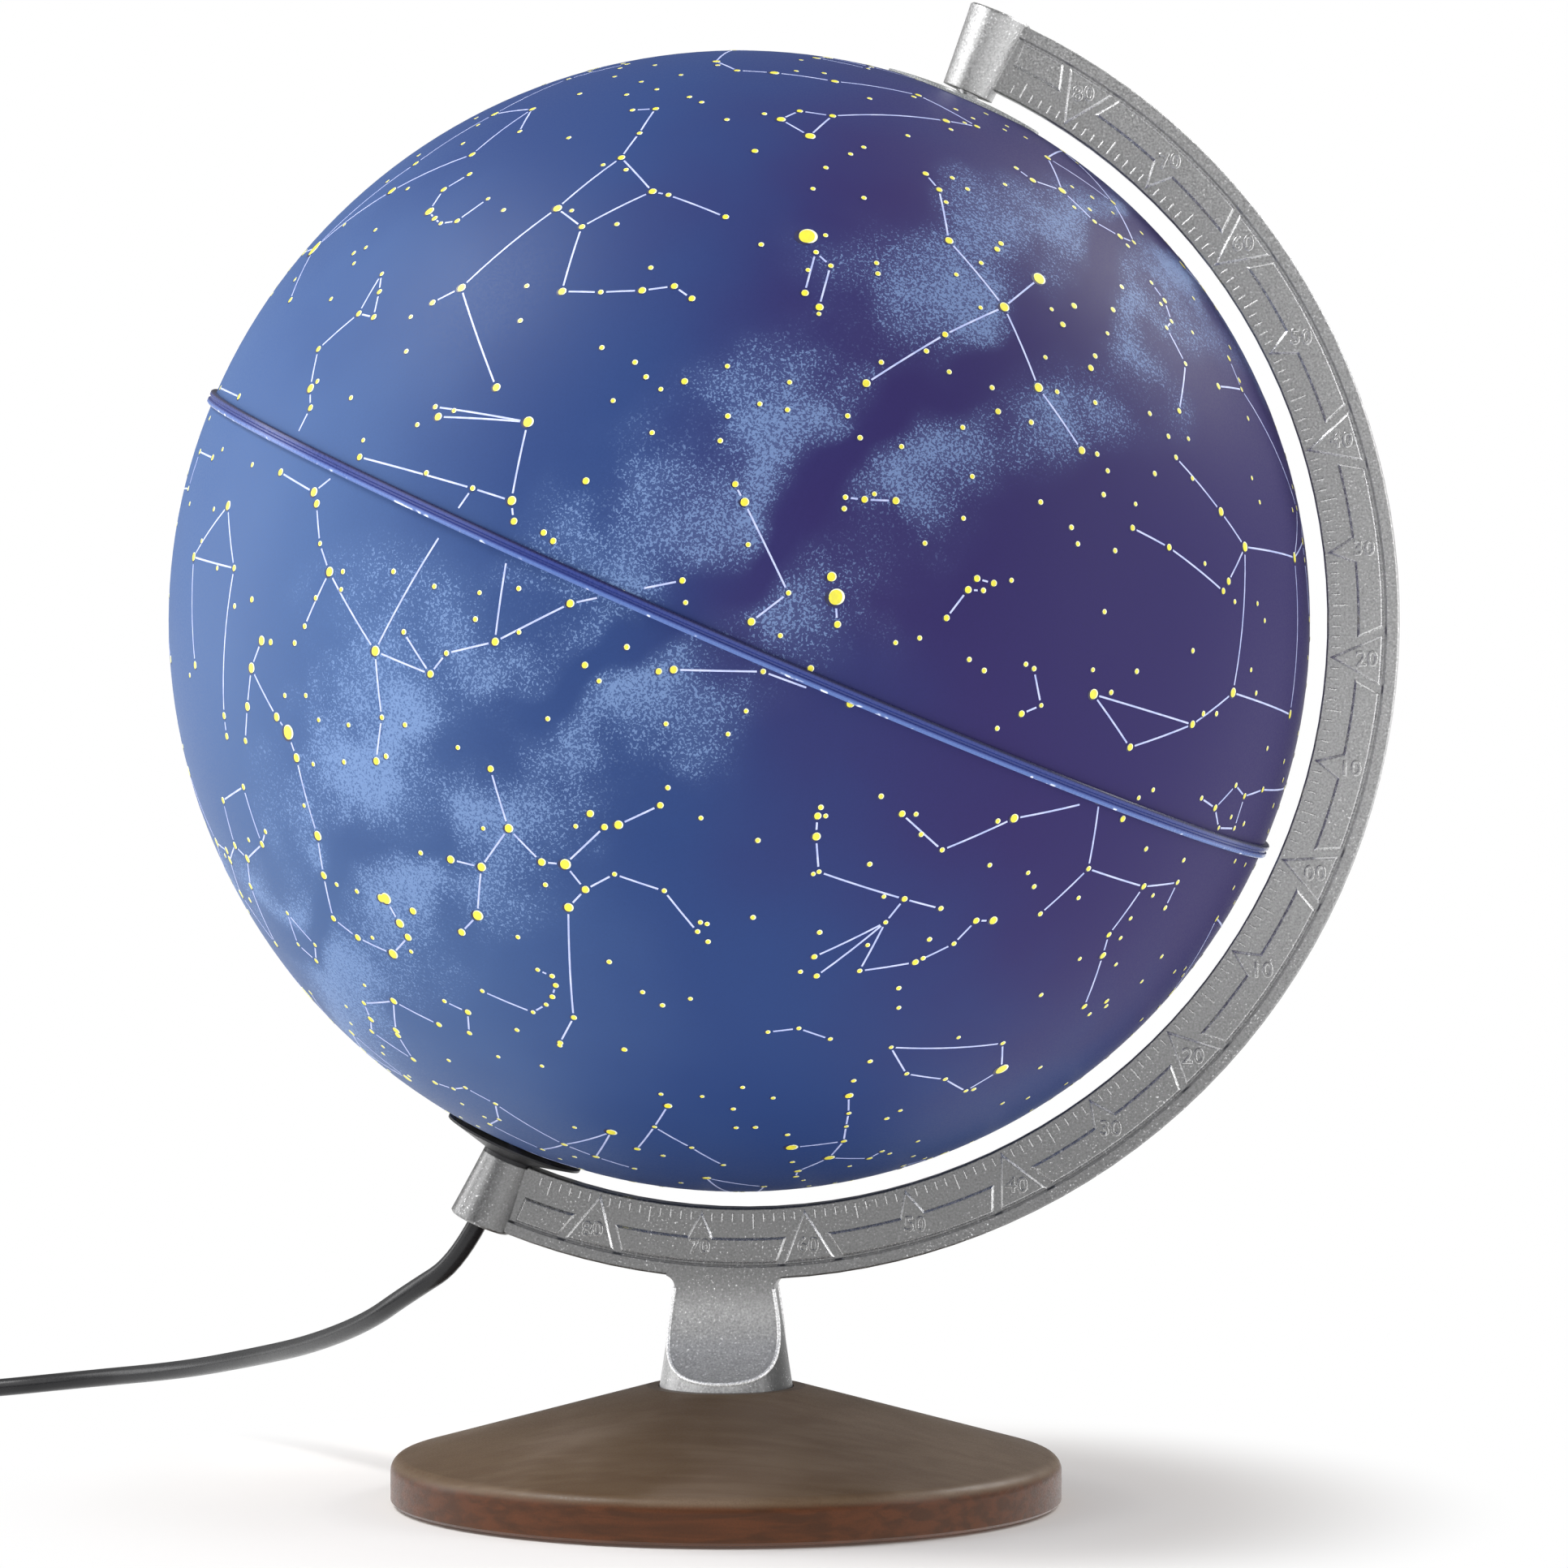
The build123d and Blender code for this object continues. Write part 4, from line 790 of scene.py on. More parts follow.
        "tau 210.4 1.5 4.3, the 197.5 -5.5 4.4, i 221.6 1.9 3.7",
        "bet-eta-gam-the-alp-zet-del-gam del-eps zet-tau-i alp-kap-iot-mu"),
    "uma": (
        "alp 165.9 61.8 1.8, bet 165.5 56.4 2.4, gam 178.5 53.7 2.4, del 183.9 57.0 3.3, eps 193.5 56.0 1.8,"
        "zet 201.0 54.9 2.2, eta 206.9 49.3 1.9, iot 134.8 48.0 3.1, the 143.2 51.7 3.2, omi 127.6 60.7 3.4,"
        "lam 154.3 42.9 3.5, mu 155.6 41.5 3.1, psi 167.4 44.5 3.0, nu 169.6 33.1 3.5, xi 169.5 31.5 3.8,"
        "ups 147.7 59.0 3.8, chi 176.5 47.8 3.7",
        "eta-zet-eps-del-alp-bet-gam-del alp-omi-ups-bet ups-the-iot gam-chi-psi-mu-lam chi-nu-xi"),
    "crv": (
        "bet 188.6 -23.4 2.7, gam 184.0 -17.5 2.6, del 187.5 -16.5 2.9, eps 182.5 -22.6 3.0, c 169.8 -14.8 3.6,"
        "d 165.0 -18.3 4.1, e 171.2 -17.7 4.1, f 167.9 -22.8 4.5",
        "bet-del-gam-eps-bet d-c-e-f-d"),
    "hya": (
        "alp 141.9 -8.7 2.0, zet 133.8 5.9 3.1, eps 131.7 6.4 3.4, del 129.4 5.7 4.1, the 138.6 2.3 3.9,"
        "iot 145.0 -1.1 3.9, lam 152.6 -12.4 3.6, mu 156.5 -16.8 3.8, nu 162.4 -16.2 3.1, xi 173.3 -31.9 3.5,"
        "bet 178.2 -33.9 4.3, gam 199.7 -23.2 3.0, pi 211.6 -26.7 3.3, ups 147.9 -14.8 4.1",
        "del-eps-zet-the-iot-alp-ups-lam-mu-nu-xi-bet-gam-pi zet-del"),
    "cnc": (
        "alp 134.6 11.9 4.3, bet 124.1 9.2 3.5, del 131.2 18.2 3.9, gam 130.8 21.5 4.7, iot 131.7 28.8 4.0,"
        "cvn 194.0 38.3 2.9, cvnb 188.4 41.4 4.2, com 197.5 17.5 4.3, comb 198.0 27.9 4.2, comc 186.7 28.3 4.4,"
        "lyn 140.3 34.4 3.1, lynb 139.7 36.8 3.8, lmi 163.3 34.2 3.8",
        "alp-del-bet del-gam-iot cvn-cvnb com-comb-comc lyn-lynb"),
    "eri": (
        "alp 24.4 -57.2 0.5, bet 76.9 -5.1 2.8, gam 59.5 -13.5 3.0, del 55.8 -9.8 3.5, eps 53.2 -9.5 3.7,"
        "eta 44.1 -8.9 3.9, mu 71.4 -3.3 4.0, nu 69.1 -3.4 3.9, omi 63.0 -6.8 4.0, tau 49.9 -21.8 3.7,"
        "the 44.6 -40.3 3.2, u 64.5 -33.8 3.6, ups 68.9 -30.6 3.8, chi 29.0 -51.6 3.7, phi 34.1 -51.5 3.6,"
        "kap 36.7 -47.7 4.2, iot 40.2 -39.9 4.1",
        "bet-mu-nu-omi-gam-del-eps-eta-tau-ups-u-the-iot-kap-phi-chi-alp"),
    "phe": (
        "alp 6.6 -42.3 2.4, bet 16.5 -46.7 3.3, gam 22.1 -43.3 3.4, eps 2.4 -45.7 3.9, kap 6.5 -43.7 3.9,"
        "del 22.8 -49.1 3.9, scl 14.7 -29.4 4.3, for 48.0 -29.0 3.9",
        "eps-kap-alp-bet-gam-del-bet-eps"),
    "tuc": (
        "alp 334.6 -60.3 2.9, gam 349.4 -58.2 4.0, zet 5.0 -64.9 4.2, bet 7.9 -63.0 4.3, hyi 29.7 -61.6 2.9,"
        "hyib 6.4 -77.3 2.8, hyig 56.8 -74.2 3.2, oct 325.4 -77.4 3.8, octb 341.5 -81.4 4.1, octd 216.7 -83.7 4.3",
        "alp-gam-bet-zet-alp hyi-hyib-hyig-hyi oct-octb-octd-oct"),
    "dor": (
        "alp 68.5 -55.0 3.3, bet 83.4 -62.5 3.8, ret 63.6 -62.5 3.3, pic 102.0 -61.9 3.3, vol 126.4 -66.1 3.8,"
        "volg 107.2 -70.5 3.6, mus 189.3 -69.1 2.7, musb 191.6 -68.1 3.0, cha 124.6 -76.9 4.1, chag 158.9 -78.6 4.1",
        "alp-bet ret-alp vol-volg mus-musb cha-chag"),
    "tra": (
        "alp 252.2 -69.0 1.9, bet 238.8 -63.4 2.9, gam 229.7 -68.7 2.9, cir 220.6 -65.0 3.2, cirb 229.4 -58.8 4.1,"
        "aps 222.0 -79.0 3.8, apsg 248.4 -78.9 3.9",
        "alp-bet-gam-alp cir-cirb aps-apsg"),
}
starLook = {
    "sizes": (4.6, 3.7, 2.7, 2.1, 1.55, 1.2),             # diameters in millimetres at magnitudes 0 to 5
    "sides": ((3, 24), (4.2, 14), (5.1, 9)),              # brighter dots are rounder
    "rimGrow": 1.12, "rimShift": 0.09, "whiteShift": 0.06, "yellowShare": 0.84, "faintYellowShare": 0.72,
    "faintFrom": 4.2, "ellipse": 1.12, "sunk": 0.3, "rimLift": 0.05, "whiteLift": 0.08, "yellowLift": 0.11}
faintLook = {
    "count": 640, "seed": 1930, "highest": 0.985, "magnitudes": (4.3, 5.0), "bandClear": 3.5, "apart": 0.028}
lineLook = {
    "width": 0.46, "gap": 0.75, "bandClear": 2.2, "shortest": 0.006, "step": 0.03, "lift": 0.05, "sunk": 0.25}
shellRadius = shellLook["radius"]
skyStars = {}
for group, (stars, _) in skyFigures.items():
    for entry in stars.split(","):
        name, ra, dec, mag = entry.split()
        skyStars[group + "." + name] = (skyDirection(float(ra), float(dec)), float(mag))


def starSize(mag):                                        # diameter in millimetres, read between whole magnitudes
    mag = min(max(mag, 0.0), 4.999)
    low = int(mag)
    a, b = starLook["sizes"][low], starLook["sizes"][low + 1]
    return a + (b - a) * (mag - low)


def dot(verts, faces, direction, size, lift, shift, count, stretch=1.0):
    east = Vector((-direction.y, direction.x, 0)).normalized()
    north = direction.cross(east)
    centre = direction + (east + north) * (shift / shellRadius)
    outline = []
    for i in range(count):
        turn = 2 * math.pi * i / count
        offset = (east * math.cos(turn) + north * math.sin(turn) * stretch) * (size / 2 / shellRadius)
        outline.append((centre + offset).normalized())
    prism(verts, faces, [p * (shellRadius - starLook["sunk"]) * mm for p in outline],
          [p * (shellRadius + lift) * mm for p in outline])


rims, discs, centres = ([], []), ([], []), ([], [])


def addStar(direction, mag):                              # a yellow dot on a shifted white one on a dark rim
    size = starSize(mag)
    count = next(sides for faintest, sides in starLook["sides"] if mag < faintest)
    share = starLook["yellowShare"] if mag < starLook["faintFrom"] else starLook["faintYellowShare"]
    dot(*rims, direction, size * starLook["rimGrow"], starLook["rimLift"], -starLook["rimShift"] * size, count)
    dot(*discs, direction, size, starLook["whiteLift"], starLook["whiteShift"] * size, count)
    dot(*centres, direction, size * share, starLook["yellowLift"], 0, count, starLook["ellipse"])


for direction, mag in skyStars.values():
    addStar(direction, mag)
faintDraw = random.Random(faintLook["seed"])
drawn = [direction for direction, _ in skyStars.values()]
while len(drawn) < len(skyStars) + faintLook["count"]:
    z, turn = faintDraw.uniform(-faintLook["highest"], faintLook["highest"]), faintDraw.uniform(0, 2 * math.pi)
    mag = faintDraw.uniform(*faintLook["magnitudes"])
    direction = Vector((math.cos(turn) * math.sqrt(1 - z * z), math.sin(turn) * math.sqrt(1 - z * z), z))
    crowded = any(direction.angle(other) < faintLook["apart"] for other in drawn)
    if crowded or abs(z) * shellRadius < faintLook["bandClear"]:
        continue
    drawn.append(direction)
    addStar(direction, mag)
for name, (verts, faces), finish in (
        ("starRims", rims, "starRim"), ("starDiscs", discs, "starWhite"), ("starCentres", centres, "starYellow")):
    addPiece(name, verts, faces, "globe", [finishes[finish]], smooth=False, placed=polarFrame)


def strip(verts, faces, rows):                            # closed bar through rows of four corners
    if len(rows) < 2:
        return
    start = len(verts)
    for row in rows:
        verts.extend(row)
    faces.append((start, start + 1, start + 3, start + 2))
    for i in range(len(rows) - 1):
        a, b = start + 4 * i, start + 4 * (i + 1)
        for p, q in ((0, 1), (1, 3), (3, 2), (2, 0)):
            faces.append((a + p, b + p, b + q, a + q))
    end = start + 4 * (len(rows) - 1)
    faces.append((end + 2, end + 3, end + 1, end))


def figureLine(verts, faces, a, b):                       # thin raised strip on a great circle, clear of both dots
    (start, startMag), (end, endMag) = a, b
    whole = start.angle(end)
    first = (starSize(startMag) / 2 + lineLook["gap"]) / shellRadius
    last = whole - (starSize(endMag) / 2 + lineLook["gap"]) / shellRadius
    if last - first < lineLook["shortest"]:
        return
    side = start.cross(end).normalized()
    ahead = side.cross(start)
    steps = max(1, round((last - first) / lineLook["step"]))
    half = lineLook["width"] / 2 / shellRadius
    heights = (shellRadius + lineLook["lift"], shellRadius - lineLook["sunk"])
    rows = []
    for i in range(steps + 1):
        angle = first + (last - first) * i / steps
        middle = start * math.cos(angle) + ahead * math.sin(angle)
        if abs(middle.z) * shellRadius < lineLook["bandClear"]:
            strip(verts, faces, rows)                     # the line stops at the band and goes on past it
            rows = []
            continue
        left, right = (middle - side * half).normalized(), (middle + side * half).normalized()
        rows.append([p * r * mm for r in heights for p in (left, right)])
    strip(verts, faces, rows)


lineVerts, lineFaces = [], []
for group, (_, lines) in skyFigures.items():
    for chain in lines.split():
        names = [n if "." in n else group + "." + n for n in chain.split("-")]
        for a, b in zip(names, names[1:]):
            figureLine(lineVerts, lineFaces, skyStars[a], skyStars[b])
addPiece("figureLines", lineVerts, lineFaces, "globe", [finishes["figureInk"]], smooth=False,
         placed=polarFrame)
print("sky printed:", len(drawn), "stars")


# meridian: raised scale on both faces, numbers, and the beads round the neck's scoops
scaleLook = {
    "web": 3.5, "raise": 0.65, "sunk": 0.4, "soften": 0.60, "sharpest": 0.35,
    "innerEdge": 155.5, "baseEdge": 169.2, "blockEdge": 162.4, "halfBase": 6.75, "gap": 1.9, "arcStep": 1.2,
    "tickRaise": 0.60, "tickWidth": 0.85, "tickFrom": 0.4, "shortTick": 2.7, "longTick": 4.6, "lastTick": 86,
    "tubeHalf": 8.7}


def ringPoint(radius, degrees, y):                        # degrees count from the equator, positive to the north
    angle = math.radians(degrees)
    spot = globeCentre / mm + (axisAcross * math.cos(angle) + axisUp * math.sin(angle)) * radius
    return Vector((spot.x, y, spot.z))


def halfWidthAt(radius):                                  # of a triangle, whose apex points inward
    height = scaleLook["baseEdge"] - scaleLook["innerEdge"]
    return scaleLook["halfBase"] * (radius - scaleLook["innerEdge"]) / height


def arcPoints(radius, start, end):
    count = max(2, round(abs(end - start) / scaleLook["arcStep"]))
    return [(radius, start + (end - start) * i / count) for i in range(count + 1)]


def beside(radius, mark, across):                         # degrees of a point this many millimetres from a mark
    return mark + math.degrees(across / radius)


plateVerts, plateFaces, plateSlots, tickVerts, tickFaces = ([] for _ in range(5))


def plate(outline, face):                                 # raised plate with a chamfer round its top
    verts, faces, count = plateVerts, plateFaces, len(outline)
    flat = [ringPoint(r, a, 0) for r, a in outline]
    area = sum(flat[i].x * flat[(i + 1) % count].z - flat[(i + 1) % count].x * flat[i].z for i in range(count))
    way = 1 if area > 0 else -1
    inset = []
    for i in range(count):
        before, here, after = flat[i - 1], flat[i], flat[(i + 1) % count]
        e1, e2 = (here - before).normalized(), (after - here).normalized()
        n1 = Vector((-e1.z, 0, e1.x)) * way
        n2 = Vector((-e2.z, 0, e2.x)) * way
        lean = n1 + n2
        lean = lean / max(lean.length_squared / 2, scaleLook["sharpest"])
        inset.append(here + lean * scaleLook["soften"])
    start = len(verts)
    for loop, out in ((flat, -scaleLook["sunk"]), (flat, 0), (inset, scaleLook["raise"])):
        verts.extend(Vector((p.x, face * (scaleLook["web"] + out), p.z)) * mm for p in loop)
    faces.append(tuple(start + i for i in range(count)))
    faces.append(tuple(start + 2 * count + i for i in range(count)))
    for layer in (0, 1):
        for i in range(count):
            j = (i + 1) % count
            a, b = start + layer * count, start + (layer + 1) * count
            faces.append((a + i, a + j, b + j, b + i))
    plateSlots.extend([0] * (2 + count) + [1] * count)    # the chamfer is the brighter metal


def tick(near, far, mark, face):                          # a small ridge with two sloping sides
    half = scaleLook["tickWidth"] / 2
    low = face * (scaleLook["web"] - scaleLook["sunk"])
    top = face * (scaleLook["web"] + scaleLook["tickRaise"])
    a = len(tickVerts)
    b = a + 3
    for radius in (near, far):
        left, right = (ringPoint(radius, beside(radius, mark, across), low) for across in (-half, half))
        tickVerts.extend((left * mm, right * mm, ringPoint(radius, mark, top) * mm))
    tickFaces.extend([(a, a + 1, a + 2), (b, b + 2, b + 1), (a, a + 2, b + 2, b), (a + 1, b + 1, b + 2, a + 2),
                      (a, b, b + 1, a + 1)])


inner, block, base = scaleLook["innerEdge"], scaleLook["blockEdge"], scaleLook["baseEdge"]
halfBase, halfBlock = scaleLook["halfBase"], halfWidthAt(block)
for face in (-1, 1):
    for mark in range(-80, 81, 20):                       # triangles at the even tens
        plate([(inner, mark)] + arcPoints(base, beside(base, mark, -halfBase), beside(base, mark, halfBase)), face)
    for mark in range(-70, 71, 20):                       # blocks with a tooth at the odd tens
        tooth = math.degrees(halfBlock / block)
        sides = []
        for way in (-1, 1):
            sides.append((beside(base, mark + way * 10, -way * (halfBase + scaleLook["gap"])),
                          beside(block, mark + way * 10, -way * (halfBlock + scaleLook["gap"]))))
        outline = arcPoints(base, sides[0][0], sides[1][0]) + arcPoints(block, sides[1][1], mark + tooth)
        plate(outline + [(inner, mark)] + arcPoints(block, mark - tooth, sides[0][1]), face)
    for way in (-1, 1):                                   # short blocks from the polar tubes to the 80 marks
        nearBase = way * beside(base, 80, halfBase + scaleLook["gap"])
        nearBlock = way * beside(block, 80, halfBlock + scaleLook["gap"])
        farBase, farBlock = (way * beside(r, 90, -scaleLook["tubeHalf"]) for r in (base, block))
        plate(arcPoints(base, nearBase, farBase) + arcPoints(block, farBlock, nearBlock), face)
    for mark in range(-scaleLook["lastTick"], scaleLook["lastTick"] + 1):
        if mark % 10:
            length = scaleLook["shortTick"] if mark % 5 else scaleLook["longTick"]
            tick(inner + scaleLook["tickFrom"], inner + length, mark, face)
castPair = [finishes["castMetal"], finishes["castEdge"]]
addPiece("scalePlates", plateVerts, plateFaces, "stand", castPair, smooth=False, faceSlots=plateSlots)
addPiece("scaleTicks", tickVerts, tickFaces, "stand", [finishes["castEdge"]], smooth=False)

numberLook = {
    "at": 165.2, "size": 5.6, "extrude": 0.24, "bevel": 0.17, "spacing": 1.05, "sunk": 0.02, "smooth": 3,
    "sideFrom": 0.95}


def castNumber(name, text, spot, face):                   # raised figures that stand upright on the face
    words = bpy.data.curves.new(name, "FONT")
    words.body = text
    words.size = numberLook["size"] * mm
    words.extrude = numberLook["extrude"] * mm
    words.bevel_depth = numberLook["bevel"] * mm
    words.resolution_u = numberLook["smooth"]
    words.align_x, words.align_y = "CENTER", "CENTER"
    words.space_character = numberLook["spacing"]
    holder = bpy.data.objects.new(name + "Outline", words)
    bpy.context.scene.collection.objects.link(holder)
    bpy.context.view_layer.update()
    mesh = bpy.data.meshes.new_from_object(holder)
    bpy.data.objects.remove(holder)
    mesh.name = name
    out = face * (scaleLook["web"] + scaleLook["raise"] - numberLook["sunk"])
    facing = Matrix.Rotation(0 if face < 0 else math.pi, 4, "Z") @ Matrix.Rotation(math.pi / 2, 4, "X")
    mesh.transform(Matrix.Translation(Vector((spot.x, out, spot.z)) * mm) @ facing)
    mesh.materials.clear()
    for material in castPair:
        mesh.materials.append(material)
    for polygon in mesh.polygons:                         # the figures' sides are the brighter metal
        polygon.material_index = 1 if abs(polygon.normal.y) < numberLook["sideFrom"] else 0
    placePiece(bpy.data.objects.new(name, mesh), "stand")


for face, side in ((-1, "Front"), (1, "Back")):
    for mark in range(-80, 81, 10):
        castNumber(f"number{side}{'S' if mark < 0 else 'N'}{abs(mark):02d}", f"{abs(mark):02d}",
                   ringPoint(numberLook["at"], mark, 0), face)

neckLook = {
    "footRadius": 17.7, "footZ": 30.15, "topRadius": 13.75, "topZ": 56.8, "scoop": 19.0, "scoopZ": 51.0,
    "face": 4.2, "bead": 0.55, "beadTop": 57.0, "beadRings": 4, "steps": 44, "search": 0.01}


def neckRadius(z):
    share = (z - neckLook["footZ"]) / (neckLook["topZ"] - neckLook["footZ"])
    return neckLook["footRadius"] + (neckLook["topRadius"] - neckLook["footRadius"]) * min(share, 1)


def scoopDepth(z):                                        # how far out the scooped face lies at this height
    if z >= neckLook["scoopZ"]:
        return neckLook["face"]
    drop = neckLook["scoopZ"] - z
    return neckLook["face"] + neckLook["scoop"] - math.sqrt(neckLook["scoop"] ** 2 - drop ** 2)


lowZ = neckLook["scoopZ"] - neckLook["scoop"] + neckLook["search"]
while neckRadius(lowZ) < scoopDepth(lowZ):                # climbs to where the scoop breaks out of the neck
    lowZ += neckLook["search"]
for face, side in ((-1, "Front"), (1, "Back")):           # the bright rolled edge round each scoop
    path = []
    for i in range(neckLook["steps"] + 1):
        z = lowZ + (neckLook["beadTop"] - lowZ) * (i / neckLook["steps"]) ** 2
        path.append((math.sqrt(max(neckRadius(z) ** 2 - scoopDepth(z) ** 2, 0)), face * scoopDepth(z), z))
    line = [(-x, y, z) for x, y, z in reversed(path[1:])] + path
    addCurve(f"neckBead{side}", line, neckLook["bead"], neckLook["beadRings"], "stand",
             "cast_metal", finishes["castEdge"])
print("scale raised")


# cord: lead, switch, put-away coil and plug
cordLook = {
    "radius": 2.6, "length": 1.80, "coilCentre": (-251.4, 22.0), "outerTurn": 38.6, "pitch": 5.2, "pointsPerTurn": 16,
    "across": 3, "layers": (2.6, 7.8), "grommet": 160.5, "tubeMouth": 173.8, "below": 184.0, "rings": 6, "smooth": 10}
sideX = -290.0                                            # the switch and the plug lie on this line, left of the base
leadRoute = [
    globeCentre / mm - axisUp * cordLook["grommet"], globeCentre / mm - axisUp * cordLook["below"],
    (-87.8, 11.7, 52.5), (-101.3, 28.3, 43.3), (-123.2, 61.0, 33.4), (-146.8, 98.6, 25.5), (-174.8, 133.7, 17.5),
    (-210.2, 161.8, 11.2), (-244.0, 172.0, 6.4), (-274.0, 166.0, 4.8), (sideX, 145.0, 6.4), (sideX, 118.0, 6.4)]
linkRoute = [(sideX, 87.0, 6.4), (sideX, 56.0, 6.4), (sideX, 46.0, 4.6), (sideX, 36.0, 2.8)]
tailRoute = [(sideX, 8.0, 7.4), (sideX, -6.0, 7.0), (sideX, -14.0, 7.0), (sideX, -26.0, 7.0)]
across = cordLook["across"]                               # turns side by side in each layer, with one more inside
innerTurn = cordLook["outerTurn"] - across * cordLook["pitch"]


def coilTurns():                                          # in along the table, once round inside, and out on top
    low, high = cordLook["layers"]
    count = cordLook["pointsPerTurn"]
    spread = 1 / math.cos(math.pi / count)                # control points stand outside the turns that they make
    points = []
    for i in range((2 * across + 1) * count + 1):
        turn = i / count
        radius = innerTurn + max(across - turn, turn - across - 1, 0) * cordLook["pitch"]
        height = low + (high - low) * min(max(turn - across, 0), 1)
        angle = math.pi + 2 * math.pi * turn
        points.append((cordLook["coilCentre"][0] + radius * spread * math.cos(angle),
                       cordLook["coilCentre"][1] + radius * spread * math.sin(angle), height))
    return points


cordLine = addCurve("cordLine", leadRoute + linkRoute + coilTurns() + tailRoute, cordLook["radius"], cordLook["rings"],
                    "stand", "cord_pvc", finishes["cordSheath"], kind="NURBS", order_u=3, use_endpoint_u=True,
                    resolution_u=cordLook["smooth"])
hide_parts("cord_lead", "cord_link", "cord_coil", "cord_tail")


def strainRelief(name, mouth, heading):                   # tapered sleeve with rings round it
    relief = {"bore": 2.62, "foot": 4.6, "rings": 5, "first": 1.5, "pitch": 3.6, "radius": 4.5, "taper": 0.26,
              "groove": 0.7, "ringEnds": (2.2, 2.5, 3.3), "tip": (3.1, 2.9), "tipAt": 21.0, "length": 21.6,
              "segments": 32}
    profile = [(relief["bore"], 0), (relief["foot"], 0)]
    for i in range(relief["rings"]):
        start, radius = relief["first"] + relief["pitch"] * i, relief["radius"] - relief["taper"] * i
        sunk = radius - relief["groove"]
        top, grooveStart, grooveEnd = (start + end for end in relief["ringEnds"])
        profile += [(radius, start), (radius, top), (sunk, grooveStart), (sunk, grooveEnd)]
    profile += [(relief["tip"][0], relief["tipAt"]), (relief["tip"][1], relief["length"]),
                (relief["bore"], relief["length"])]
    placed = Matrix.Translation(Vector(mouth) * mm) @ Vector(heading).to_track_quat("Z", "Y").to_matrix().to_4x4()
    verts, faces = spin([(r * mm, z * mm) for r, z in profile], relief["segments"])
    sleeve = addPiece(name, verts, faces, "stand", [finishes["blackRubber"]], placed=placed)
    sharpen(sleeve)
    return sleeve


reliefs = [strainRelief("switchReliefIn", leadRoute[-1], (0, 1, 0)),
           strainRelief("switchReliefOut", linkRoute[1], (0, -1, -0.12))]


def coilTie(name, degrees):                               # flat strap round the whole bundle
    strap = {"width": 9.0, "thickness": 0.6, "slack": 0.25, "top": 10.9, "corner": 2, "low": 1.6, "under": 0.02,
             "offFloor": 0.01}
    turn = (degrees / 360 - 0.5) % 1
    hold = cordLook["radius"] + strap["slack"]
    near = innerTurn - hold
    farLow, farHigh = (innerTurn + turns * cordLook["pitch"] + hold for turns in (across - turn, across - 1 + turn))
    top, corner, low = strap["top"], strap["corner"], strap["low"]
    loop = [(near, low), (near, top - corner), (near + corner, top), (farHigh - corner, top),
            (farHigh, top - corner), (farLow, cordLook["layers"][1] / 2), (farLow, low),
            (farLow - low, strap["under"]), (near + low, strap["under"])]
    verts, faces = [], []
    middle = Vector(((near + farHigh) / 2, top / 2))
    for side in (-0.5, 0.5):
        for grow in (0.0, strap["thickness"]):
            for r, z in loop:
                away = (Vector((r, z)) - middle).normalized() * grow
                height = max(z + away.y, strap["offFloor"] * (1 + grow))
                verts.append(((r + away.x) * mm, side * strap["width"] * mm, height * mm))
    count = len(loop)
    for k in range(count):
        n = (k + 1) % count
        a, b, c, d = 0, count, 2 * count, 3 * count       # inner and outer loops on each side
        faces += [(a + k, a + n, b + n, b + k), (c + k, d + k, d + n, c + n),
                  (b + k, b + n, d + n, d + k), (a + k, c + k, c + n, a + n)]
    x, y = cordLook["coilCentre"]
    placed = Matrix.Translation((x * mm, y * mm, 0)) @ Matrix.Rotation(math.radians(degrees), 4, "Z")
    tie = addPiece(name, verts, faces, "stand", [finishes["blackRubber"]], placed=placed)
    sharpen(tie, 50)
    return tie


ties = [coilTie("coilTieA", 20), coilTie("coilTieB", 265)]
print("cord laid")


# floor, light and camera
floorLook = {"pale": (0.66, 0.635, 0.61, 1), "paler": (0.67, 0.65, 0.63, 1), "patch": 0.6, "fade": (0.12, 0.21),
             "bounce": 1.5, "reach": 30}
reach = floorLook["reach"]
floorMesh = bpy.data.meshes.new("floorSheet")
floorMesh.from_pydata([(-reach, -reach, 0), (reach, -reach, 0), (reach, reach, 0), (-reach, reach, 0)], [],
                      [(0, 1, 2, 3)])
floorSheet = bpy.data.objects.new("floorSheet", floorMesh)
bpy.context.scene.collection.objects.link(floorSheet)
paleFloor, f, floorShader = newMaterial("paleFloor", Roughness=0.9, Specular_IOR_Level=0.1)
patches = useGroup(f, broadPatches, Size=floorLook["patch"])
f.link(f.mix(patches.outputs["Mask"], floorLook["pale"], floorLook["paler"]), floorShader.inputs["Base Color"])
# away from the object the floor turns into the white backdrop, and it lights the object from below like a lit table
distance = f.add("ShaderNodeVectorMath", operation="LENGTH")
f.link(f.add("ShaderNodeTexCoord").outputs["Object"], distance.inputs[0])
farAway = f.ramp(distance.outputs["Value"], *floorLook["fade"])
direct = f.add("ShaderNodeLightPath").outputs["Is Camera Ray"]
glare = f.add("ShaderNodeEmission")
f.link(f.ramp(direct, 0.0, 1.0, floorLook["bounce"], 1.0), glare.inputs["Strength"])
blendOut = f.add("ShaderNodeMixShader")
f.link(f.math("MAXIMUM", farAway, f.math("SUBTRACT", 1.0, direct)), blendOut.inputs["Fac"])
f.link(floorShader.outputs[0], blendOut.inputs[1])
f.link(glare.outputs[0], blendOut.inputs[2])
f.link(blendOut.outputs[0], paleFloor.node_tree.nodes["Material Output"].inputs["Surface"])
floorMesh.materials.append(paleFloor)

